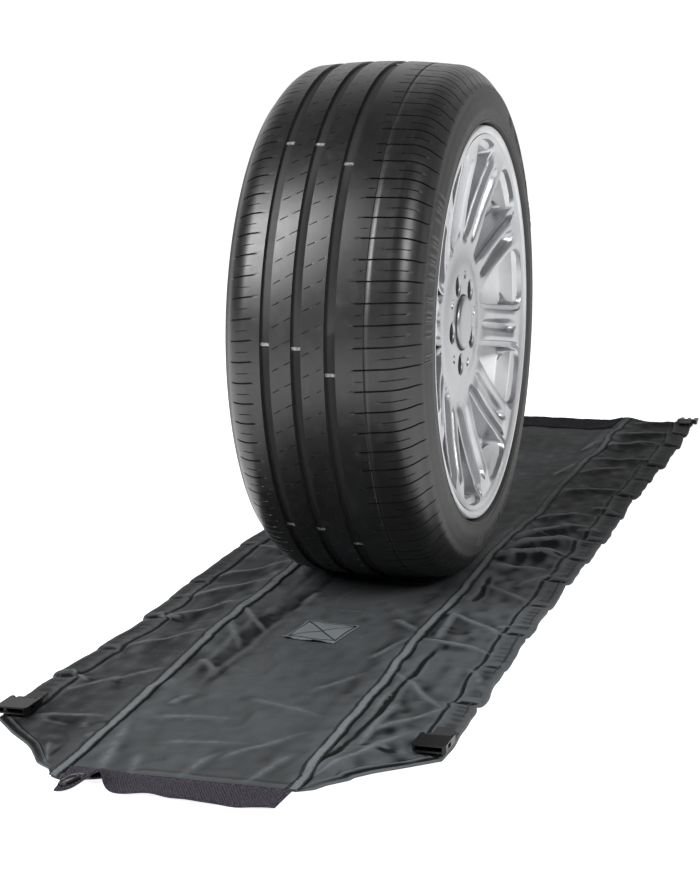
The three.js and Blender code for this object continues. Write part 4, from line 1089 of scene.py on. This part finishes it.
def side_panel(side):
    y = np.linspace(near_end, far_end, 675)
    Y = y[:, None]
    start, stitch, edge = (f(y, side)[:, None] for f in (seam, hem_inner, outer_edge))
    inner_u = np.concatenate([beside_tape / PANEL_WIDE, np.linspace(0.14, 1, 30)])[None, :]
    hem_u = tube_share[None, 1:]
    X = np.concatenate([start + (stitch - start) * inner_u, stitch + (edge - stitch) * hem_u], 1)
    Y = Y + 0 * X
    height, rub_and_shade = lift(X, Y)
    in_hem = np.concatenate([np.zeros_like(inner_u), hem_u], 1)
    settle = 1 - 0.75 * smooth(in_hem, 0, 0.6)
    height = height * settle
    rise = hem_rise(Y, side) * np.sin(math.pi * np.clip(in_hem, 0, 1) ** 0.8) ** 0.45
    sewn = TURNED_IN * ((in_hem > 0) | (Y > far_end - 15))
    dip = 0.9 * np.exp(-((np.abs(X - stitch) / 2.2) ** 2)) * (Y > CORNER_AT)
    flat_edge = 1 - 0.8 * (in_hem > 0.985)
    top = (height + CLOTH_THICK + rise + sewn - dip) * flat_edge + 0.6 * (in_hem > 0.985)
    bottom = np.minimum(height * (1 - 0.85 * (in_hem > 0.2)), top - 0.4)
    along_hem = smooth(Y, CORNER_AT, CORNER_AT + 20)
    rub_and_shade = rub_and_shade + 0.9 * np.exp(-(((X - stitch) / 1.6) ** 2)) * along_hem * (0.6 + 0.4 * small(Y, X, 15, 9))
    rub_and_shade = rub_and_shade - 0.2 * smooth(in_hem, 0.05, 0.2) * along_hem
    word = WORD[side]
    bottom = np.maximum(bottom, 0)
    made = cloth_skin(f"{word}_side_cloth", X, Y, top, bottom, rub_and_shade, coated_cloth, shade_by_curve_gain=1.0)
    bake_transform(made)
    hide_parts(f"{word}_side_panel", f"{word}_seam_margin", f"{word}_hem_channel")
    return made


side_cloths = {side: side_panel(side) for side in (-1, 1)}
print("side panels:", [len(s.data.polygons) for s in side_cloths.values()], "faces")

# %% [markdown]
# ## Threads
# Stitching is real geometry: every stitch is a short bent thread with four sides, laid on the cloth by
# the same height function. A bump would be cheaper, but it would lie flat in a low view. Narrow zigzag
# rows hold the seam tapes, and straight rows close the hems.

# %% A row of stitches
THREAD_ARCH = 0.35
thread = Finish("sewing_thread")
twist = thread.noise(thread.place(), 1500, 2, 0.6)
thread.surface(Base_Color=thread.mix(twist, (0.008, 0.008, 0.009), (0.024, 0.024, 0.026)), Roughness=0.7)


def threads(name, starts, ends, height_over, radius, finish, body, surface=None):
    """Short threads between pairs of (x, y) points, each arched a little above the surface it is sewn to."""
    starts, ends = np.asarray(starts, float), np.asarray(ends, float)
    share = np.array([0, 0.18, 0.5, 0.82, 1.0])
    line = starts[:, None, :] * (1 - share)[None, :, None] + ends[:, None, :] * share[None, :, None]
    ground = (surface or (lambda x, y: lift(x, y)[0] + CLOTH_THICK))(line[..., 0], line[..., 1])
    high = ground + height_over + np.array([-0.7, 0.15, 0.4, 0.15, -0.7]) * THREAD_ARCH
    direction = ends - starts
    direction = direction / np.maximum(np.linalg.norm(direction, axis=1), 1e-9)[:, None]
    aside = np.stack([-direction[:, 1], direction[:, 0]], -1)
    sides = np.radians([45, 135, 225, 315])
    ring = []
    for a in sides:
        xy = line + aside[:, None, :] * radius * math.cos(a)
        ring.append(np.concatenate([xy, (high + radius * math.sin(a))[..., None]], -1))
    points = np.stack(ring, 2)
    points[..., 1] = pull_near(points[..., 0], points[..., 1])
    count = len(starts)
    local = grid_faces(5, 4, False, True)
    caps = np.array([[3, 2, 1, 0], [16, 17, 18, 19]])
    faces = (np.concatenate([local, caps])[None] + (np.arange(count) * 20)[:, None, None]).reshape(-1, 4)
    made = build(name, points.reshape(-1, 3) * MM, faces, finish, None, outward=False)
    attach(made, body)
    return made


def zigzag(y0, y1, centre_line, half_width, stitch):
    y = np.arange(y0, y1, stitch)
    x = centre_line(y) + half_width * np.where(np.arange(len(y)) % 2, 1, -1)
    points = np.stack([x, y], -1)
    return points[:-1], points[1:]


def straight_row(y0, y1, line):
    """Stitches of 3.4 mm with a 0.8 mm gap between them, in millimetres."""
    y = np.arange(y0, y1, 4.2)
    ends = y + 4.2 - 0.8
    return np.stack([line(y), y], -1), np.stack([line(ends), ends], -1)


print("stitch rows ready, each stitch arched by", THREAD_ARCH, "mm")

# %% [markdown]
# ## Seam tapes
# A folded tape covers each seam. It is lighter than the cloth and puckers slightly between stitches.
# A dark row of stitches runs along each edge, pulled into the cloth, so its edges are held down.

# %% The seam tapes
STITCH_AT = 5.4


def tape_top(x, y, side):
    aside = np.abs(x - seam(y, side))
    pucker = 0.3 * np.sin(y / 1.75 + 2.2 * np.sin(y / 23.0)) + 0.35 * small(y, x, 12, 8)
    held_down = 0.55 * smooth(aside, 4.2, 5.0)
    return lift(x, y)[0] + CLOTH_THICK + 1.0 + pucker * (1 - smooth(aside, 3, 5)) - held_down


def seam_tape(side):
    y = np.linspace(near_end + 1, far_end - 1, 1150)
    half_u = np.array([0, 1.6, 3.0, 3.9, 4.3, 4.6, 5.4, 6.1, 6.6])
    u = np.concatenate([-half_u[:0:-1], half_u])
    Y = y[:, None] + 0 * u[None, :]
    X = seam(Y, side) + u[None, :]
    top = tape_top(X, Y, side)
    rub_and_shade = 0.5 * np.exp(-((u[None, :] / 2.4) ** 2)) * (0.6 + 0.4 * small(Y, X, 21, 9))
    # Painted shade along the tape's edges, outside the stitch rows.
    rub_and_shade = rub_and_shade - 1.3 * smooth(np.abs(u[None, :]), 4.0, 4.6) + 0 * Y
    word = WORD[side]
    made = cloth_skin(f"{word}_seam_binding", X, Y, top, lift(X, Y)[0] + CLOTH_THICK * 0.5, rub_and_shade, tape_cloth)
    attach(made, "sock_centre")
    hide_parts(f"{word}_seam_tape")
    for row, offset in (("a", -STITCH_AT), ("b", STITCH_AT)):
        starts, ends = zigzag(near_end + 4, far_end - 4, lambda y: seam(y, side) + offset, 0.8, 3.4)
        threads(f"{word}_seam_stitches_{row}", starts, ends, 0.3, 0.8, thread.material, "sock_centre",
                surface=lambda x, y: tape_top(x, y, side))
    return made


tapes = {side: seam_tape(side) for side in (-1, 1)}
print("seam tapes:", [len(t.data.polygons) for t in tapes.values()], "faces")

# %% [markdown]
# ## Hem stitches and elastic
# One straight row closes each hem. The elastic inside shows only at the hem's two mouths.

# %% Hem rows and elastic cords
ELASTIC_RADIUS, ELASTIC_SIDES, ELASTIC_STEPS = 2.0, 10, 90
for side in (-1, 1):
    word = WORD[side]
    starts, ends = straight_row(CORNER_AT + 6, far_end - 6, lambda y: hem_inner(y, side) + side * 0.8)
    threads(f"{word}_hem_stitches", starts, ends, 0.35, 0.4, thread.material, SIDE_BODY[side])
    lowest, highest = (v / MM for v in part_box(f"{word}_elastic_cord"))
    y = np.linspace(lowest.y, highest.y, ELASTIC_STEPS)
    a = np.arange(ELASTIC_SIDES) * 2 * math.pi / ELASTIC_SIDES
    middle = (outer_edge(y, side) - side * 9)[:, None]
    high = 2.3 + 0.25 * hem_rise(y, side)[:, None]
    round_x, round_z = ELASTIC_RADIUS * np.cos(a), ELASTIC_RADIUS * np.sin(a)
    points = np.stack(np.broadcast_arrays(middle + round_x, y[:, None], high + round_z), -1)
    last = ELASTIC_SIDES * (ELASTIC_STEPS - 1)
    faces = grid_faces(ELASTIC_STEPS, ELASTIC_SIDES, False, True).tolist()
    faces += [list(range(ELASTIC_SIDES)), list(range(last, last + ELASTIC_SIDES))]
    braid = plain_finish(f"braided_elastic_{word}", (0.012,) * 3, 0.8)
    elastic = build(f"{word}_elastic", points * MM, faces, braid, 60)
    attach(elastic, SIDE_BODY[side])
    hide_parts(f"{word}_elastic_cord")
print("hems stitched")

# %% [markdown]
# ## Hook strip
# The near end carries the hook half of the fastener. It is stiffer than the cloth, waves a little, and
# its left end has curled over and shows its shiny backing, with painted highlight streaks on the curl. The
# hooks are small bent pegs in staggered rows, a little coarser than real ones, since finer ones would
# multiply the faces and not be seen.

# %% The hook strip
hook_cloth = woven("hook_tape", (0.0125, 0.0105, 0.0155), (0.007, 0.0058, 0.009), 2.6, 0.2, 0.6, 0.0008, 0.9)
strip_low, strip_high = (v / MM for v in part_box("hook_strip"))


def strip_lift(x, y):
    """The strip's own curl: up from its sewn edge, most near its left end."""
    forward = np.clip((strip_high.y - y) / (strip_high.y - strip_low.y), 0, 1)
    curl = 11 * np.exp(-(((x + 58) / 17) ** 2)) * forward ** 1.4
    over_cloth = 2.6 * smooth(-x, 10, 60) * (1 - smooth(forward, 0.5, 0.8))
    waves = (1.0 * np.sin(x / 21.0) + 0.6 * np.sin(x / 9.5 + 1)) * forward + 1.2 * forward
    return np.maximum(curl + over_cloth + waves * smooth(x, -84, -60) + 0.4, 0)


def strip_place(x, y):
    """Where a point of the flat strip lies: its left end is drawn in and its front edge bows."""
    forward = (strip_high.y - y) / (strip_high.y - strip_low.y)
    bow = 26 * np.exp(-(((x + 60) / 18) ** 2)) * forward - 8 * smooth(-x, 72, 99) * forward
    waist = 4.0 * smooth(x, 120, 141) * forward + 0.8 * np.sin(x / 6.0) * forward
    waist = waist + 6 * np.exp(-(((x - 4) / 30) ** 2)) * forward
    return x + 14 * smooth(-x, 20, 99) * (0.35 + 0.65 * forward), y + bow + waist


u = np.linspace(strip_low.x, strip_high.x, 130)
v = np.linspace(strip_low.y, strip_high.y + 1.0, 30)
X, Y = np.meshgrid(u, v)
base = strip_lift(X, Y)
rub_and_shade = 0.25 * np.abs(small(X, Y, 9, 9))
Xs, Ys = strip_place(X, Y)
hook_strip = cloth_skin("hook_strip_tape", Xs, Ys, base + 1.5, base, rub_and_shade, hook_cloth, sewn=False)
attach(hook_strip, "hook_strip_tab")
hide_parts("hook_strip")
backing = Finish("curled_backing_painted_highlights")
# Pale streaks along the curl are painted highlights on its shiny backing.
painted_streak = backing.noise(backing.scaled(backing.place(), (90, 160, 90)), 1, 3, 0.6)
backing.surface(Base_Color=backing.mix(painted_streak.step(0.56, 0.68), (0.008, 0.007, 0.009), (0.2, 0.18, 0.18)),
                Roughness=0.25 + painted_streak * 0.2, Specular_IOR_Level=0.6, Normal=backing.bump(painted_streak, 0.0008, 0.5))
bend_turn = np.linspace(math.radians(-60), math.radians(200), 16)[None, :]
run = np.linspace(0, 1, 26)[:, None]
roll_radius = 4.2 * np.sin(math.pi * np.clip(0.12 + run * 0.86, 0, 1)) ** 0.6
tip, root = np.array([-83.0, -912.0]), np.array([-64.0, -880.0])
middle = tip + (root - tip) * run
side_way = np.array([root[1] - tip[1], tip[0] - root[0]]) / np.linalg.norm(root - tip)
X = middle[:, :1] + side_way[0] * roll_radius * np.cos(bend_turn)
Y = middle[:, 1:] + side_way[1] * roll_radius * np.cos(bend_turn)
Z = 2.4 + roll_radius * (1 + np.sin(bend_turn))
curl = cloth_skin("hook_strip_curl", X, Y, Z, Z - 0.8, 0 * X, backing.material, sewn=False)
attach(curl, "hook_strip_tab")
print("hook strip:", len(hook_strip.data.polygons), "faces, with its left end curled over")

# %% The hooks
HOOK_ACROSS, HOOK_ALONG = 3.0, 2.8
hook_x, hook_y = np.meshgrid(np.arange(strip_low.x + 3, strip_high.x - 3, HOOK_ACROSS),
                             np.arange(strip_low.y + 3, strip_high.y - 4, HOOK_ALONG))
hook_x = hook_x + HOOK_ACROSS / 2 * (np.arange(hook_x.shape[0]) % 2)[:, None]
jitter = np.random.default_rng(5)
hook_x, hook_y = hook_x.ravel() + jitter.normal(0, 0.12, hook_x.size), hook_y.ravel()
foot_z = strip_lift(hook_x, hook_y) + 1.4
hook_x, hook_y = strip_place(hook_x, hook_y)
peg = np.array(
               [[-0.6, -0.5, 0], [0.6, -0.5, 0], [0.6, 0.5, 0], [-0.6, 0.5, 0], [0.15, -0.4, 1.5],
                [0.95, -0.4, 1.2], [0.95, 0.4, 1.2], [0.15, 0.4, 1.5]])
lean_way = jitter.choice([-1, 1], hook_x.size)
pegs = peg[None] * np.stack([lean_way, np.ones(hook_x.size), np.ones(hook_x.size)], -1)[:, None, :]
pegs = pegs + np.stack([hook_x, hook_y, foot_z], -1)[:, None, :]
box_faces = np.array([[0, 1, 5, 4], [1, 2, 6, 5], [2, 3, 7, 6], [3, 0, 4, 7], [4, 5, 6, 7]])
faces = (box_faces[None] + (np.arange(len(pegs)) * 8)[:, None, None]).reshape(-1, 4)
hook_plastic = plain_finish("hook_plastic", (0.05, 0.046, 0.056), 0.5, 0.0, 300, shine=0.2)
hooks = build("hooks", pegs.reshape(-1, 3) * MM, faces, hook_plastic, None, outward=True)
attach(hooks, "hook_strip_tab")
print(len(pegs), "hooks")

# %% [markdown]
# ## Loop strip and patch
# The far end carries the loop half of the fastener, a darker brushed band. The patch is a small piece of
# cloth stitched round and across, with its near edge left loose. Its stitch lines press into it.

# %% The loop strip
loop_cloth = woven("loop_tape", (0.013, 0.012, 0.015), (0.007, 0.0065, 0.008), 2.2, 0.1, 0.85, 0.0007)
loop_low, loop_high = (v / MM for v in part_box("loop_strip"))
u, v = np.linspace(loop_low.x, loop_high.x, 90), np.linspace(loop_low.y, loop_high.y, 36)
X, Y = np.meshgrid(u, v)
X = X + 2 * np.sin(Y / 30.0)
ground = lift(X, Y)[0] + CLOTH_THICK
nap = 0.5 * (small(X, Y, 3.1, 2.3) + 1) + 0.25 * np.sin(Y / 1.6)
loop_strip = cloth_skin("loop_strip_tape", X, Y, ground + 1.6 + nap, ground + 0.1, 0 * X, loop_cloth)
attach(loop_strip, "sock_centre")
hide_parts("loop_strip")
print("loop strip:", len(loop_strip.data.polygons), "faces")

# %% The patch and its stitches
patch_low, patch_high = (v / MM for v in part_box("reinforcement_patch"))
patch_x, patch_y = (patch_low.x + patch_high.x) / 2, (patch_low.y + patch_high.y) / 2
turn_patch = math.radians(-5)


def on_patch(a, b):
    """From the patch's own across and along to the sock's x and y."""
    return (patch_x + a * math.cos(turn_patch) - b * math.sin(turn_patch),
            patch_y + a * math.sin(turn_patch) + b * math.cos(turn_patch))


A, B = np.meshgrid(np.linspace(-34, 34, 92), np.linspace(-41, 41, 108))
corner_a = [(-31, -29), (31, -29), (31, 38), (-31, 38)]
lines = [(corner_a[i], corner_a[(i + 1) % 4]) for i in range(4)]
lines += [(corner_a[0], corner_a[2]), (corner_a[1], corner_a[3])]
stitched = np.zeros_like(A)
for (a0, b0), (a1, b1) in lines:
    run = math.hypot(a1 - a0, b1 - b0)
    aside = ((A - a0) * (b1 - b0) - (B - b0) * (a1 - a0)) / run
    along_it = ((A - a0) * (a1 - a0) + (B - b0) * (b1 - b0)) / run
    stitched = np.maximum(stitched, np.exp(-((aside / 0.9) ** 2)) * ((along_it > -1) & (along_it < run + 1)))
frayed = 1.6 * small(A * 3, B, 9, 9) * (B < -40)
X, Y = on_patch(A * (1 + 0.03 * (B > 30)), B + frayed)
ground = lift(X, Y)[0] + CLOTH_THICK
flap = 3.0 * smooth(-B, 30, 41) * (0.6 + 0.4 * np.sin(A / 7.0))
pillow = 0.9 * np.sin(math.pi * np.clip((B + 30) / 69, 0, 1)) * np.abs(np.sin((A + B) / 21.0)) + 0.2
edge_fade = smooth(34 - np.abs(A), 0, 2.5)
top = ground + 0.9 + pillow * edge_fade - 0.6 * stitched + flap
# Painted shade along the pressed stitch lines.
rub_and_shade = 0.3 * (1 - edge_fade) + 0.3 * (B < -34) - 1.1 * stitched
patch = cloth_skin("wear_patch", X, Y, top, ground + 0.1 + flap, rub_and_shade, patch_cloth)
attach(patch, "sock_centre")
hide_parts("reinforcement_patch")
starts, ends = [], []
for (a0, b0), (a1, b1) in lines:
    run = math.hypot(a1 - a0, b1 - b0)
    for s in np.arange(0, run - 3, 4.0):
        for target, place in ((starts, s), (ends, s + 3.2)):
            target.append(on_patch(a0 + (a1 - a0) * place / run, b0 + (b1 - b0) * place / run))
threads("patch_stitches", starts, ends, 1.05, 0.5, thread.material, "sock_centre")
print("patch:", len(starts), "stitches")

# %% [markdown]
# ## Webbing and buckles
# A short strap is sewn on each end of each hem and turned round a buckle's bar. The strap is a ribbon
# along a path in the upright plane, ribbed across like real webbing. The path stays low behind the bar,
# because the buckle swings back over it. The buckles keep their solids, which already have their
# windows, and get soft edges and a satin plastic.

# %% The straps
strap_cloth = Finish("woven_strap")
flat = strap_cloth.stored_point("flat")
rib = (strap_cloth.axis(flat, "Y") * (2 * math.pi / 0.0016)).math("SINE")
strand = (strap_cloth.axis(flat, "X") * (2 * math.pi / 0.0022)).math("SINE")
fuzz = strap_cloth.noise(flat, 400, 3, 0.6)
strap_cloth.surface(
    Base_Color=strap_cloth.mix(fuzz.step(0.3, 0.7), (0.010, 0.010, 0.011), (0.028, 0.028, 0.03)),
    Roughness=0.78,
    Normal=strap_cloth.bump(rib * strand + fuzz, 0.0004, 0.6),
)


def strap(name, path, middle_x, body):
    """A ribbon of webbing along (y, z) points in millimetres."""
    line = np.array(path, float)
    for _ in range(2):
        early, late = 0.75 * line[:-1] + 0.25 * line[1:], 0.25 * line[:-1] + 0.75 * line[1:]
        line = np.concatenate([line[:1], np.stack([early, late], 1).reshape(-1, 2), line[-1:]])
    tangent = np.gradient(line, axis=0)
    tangent /= np.linalg.norm(tangent, axis=1)[:, None]
    off = np.stack([-tangent[:, 1], tangent[:, 0]], -1) * 0.55
    spread = (-1, -0.6, -0.2, 0.2, 0.6, 1)
    ring = [(share, -1) for share in spread] + [(share, 1) for share in spread[::-1]]
    points = []
    for s, t in ring:
        yz = line + off * t * (1 if abs(s) < 1 else 0.55)
        points.append(np.column_stack([np.full(len(line), middle_x + s * WEBBING_WIDE / 2), yz]))
    points = np.stack(points, 1)
    count, sides = points.shape[:2]
    faces = grid_faces(count, sides, False, True).tolist()
    faces += [list(range(sides)), list(range((count - 1) * sides, count * sides))]
    made = build(name, points.reshape(-1, 3) * MM, faces, strap_cloth.material, 50)
    travelled = np.concatenate([[0], np.cumsum(np.linalg.norm(np.diff(line, axis=0), axis=1))])
    x_flat, y_flat = points[..., 0], np.broadcast_to(travelled[:, None], points.shape[:2])
    flat_place = np.stack([x_flat, y_flat, 0 * x_flat], -1)
    made.data.attributes.new("flat", "FLOAT_VECTOR", "POINT").data.foreach_set(
        "vector", (flat_place * MM).astype(np.float32).ravel())
    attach(made, body)
    return made


WEBBING_WIDE = 20
LOOP_RADIUS = 3.5


def loop_round(bar_y, bar_z, way, degrees):
    """The strap's turn round a buckle's bar, as (y, z) points."""
    turns = np.radians(degrees)
    return [(bar_y + way * LOOP_RADIUS * math.sin(a), bar_z + LOOP_RADIUS * math.cos(a)) for a in turns]


for side in (-1, 1):
    word = WORD[side]
    low, high = (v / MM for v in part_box(f"webbing_near_{word}"))
    middle, bar_y, bar_z = (low.x + high.x) / 2, low.y + 4.0, high.z - 4.0
    round_bar = loop_round(bar_y, bar_z, 1, [10, -30, -70, -110, -150, -185])
    path = [(high.y, 9.9), (bar_y + 12, 10.0), (bar_y + 6, 11.8), *round_bar, (bar_y + 7, 8.7),
            (high.y - 1, 8.5)]
    near_strap = strap(f"near_strap_{word}", path, middle, SIDE_BODY[side])
    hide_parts(f"webbing_near_{word}")
    low, high = (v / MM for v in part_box(f"webbing_far_{word}"))
    middle, bar_y, bar_z = (low.x + high.x) / 2, high.y - 4.0, 4.2
    round_bar = loop_round(bar_y, bar_z, -1, [20, -30, -70, -110, -150, -185])
    path = [(low.y, 9.6), (bar_y - 12, 9.7), (bar_y - 5, 8.2), *round_bar, (bar_y - 5.5, 3.2),
            (bar_y - 6.5, 6.4), (bar_y - 11, 8.3), (low.y + 1, 8.4)]
    far_strap = strap(f"far_strap_{word}", path, middle, SIDE_BODY[side])
    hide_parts(f"webbing_far_{word}")
print("straps made")

# %% The buckles
acetal = plain_finish("buckle_acetal", (0.0036, 0.0036, 0.004), 0.36, 0.0, 900, 0.0001, 0.22)
for word in ("left", "right"):
    dress(f"buckle_socket_{word}", acetal, 0.0009)
    dress(f"buckle_plug_{word}", acetal, 0.0007)
    for arm in ("a", "b"):
        dress(f"buckle_plug_{word}_arm_{arm}", acetal, 0.0006)
print("buckles dressed")
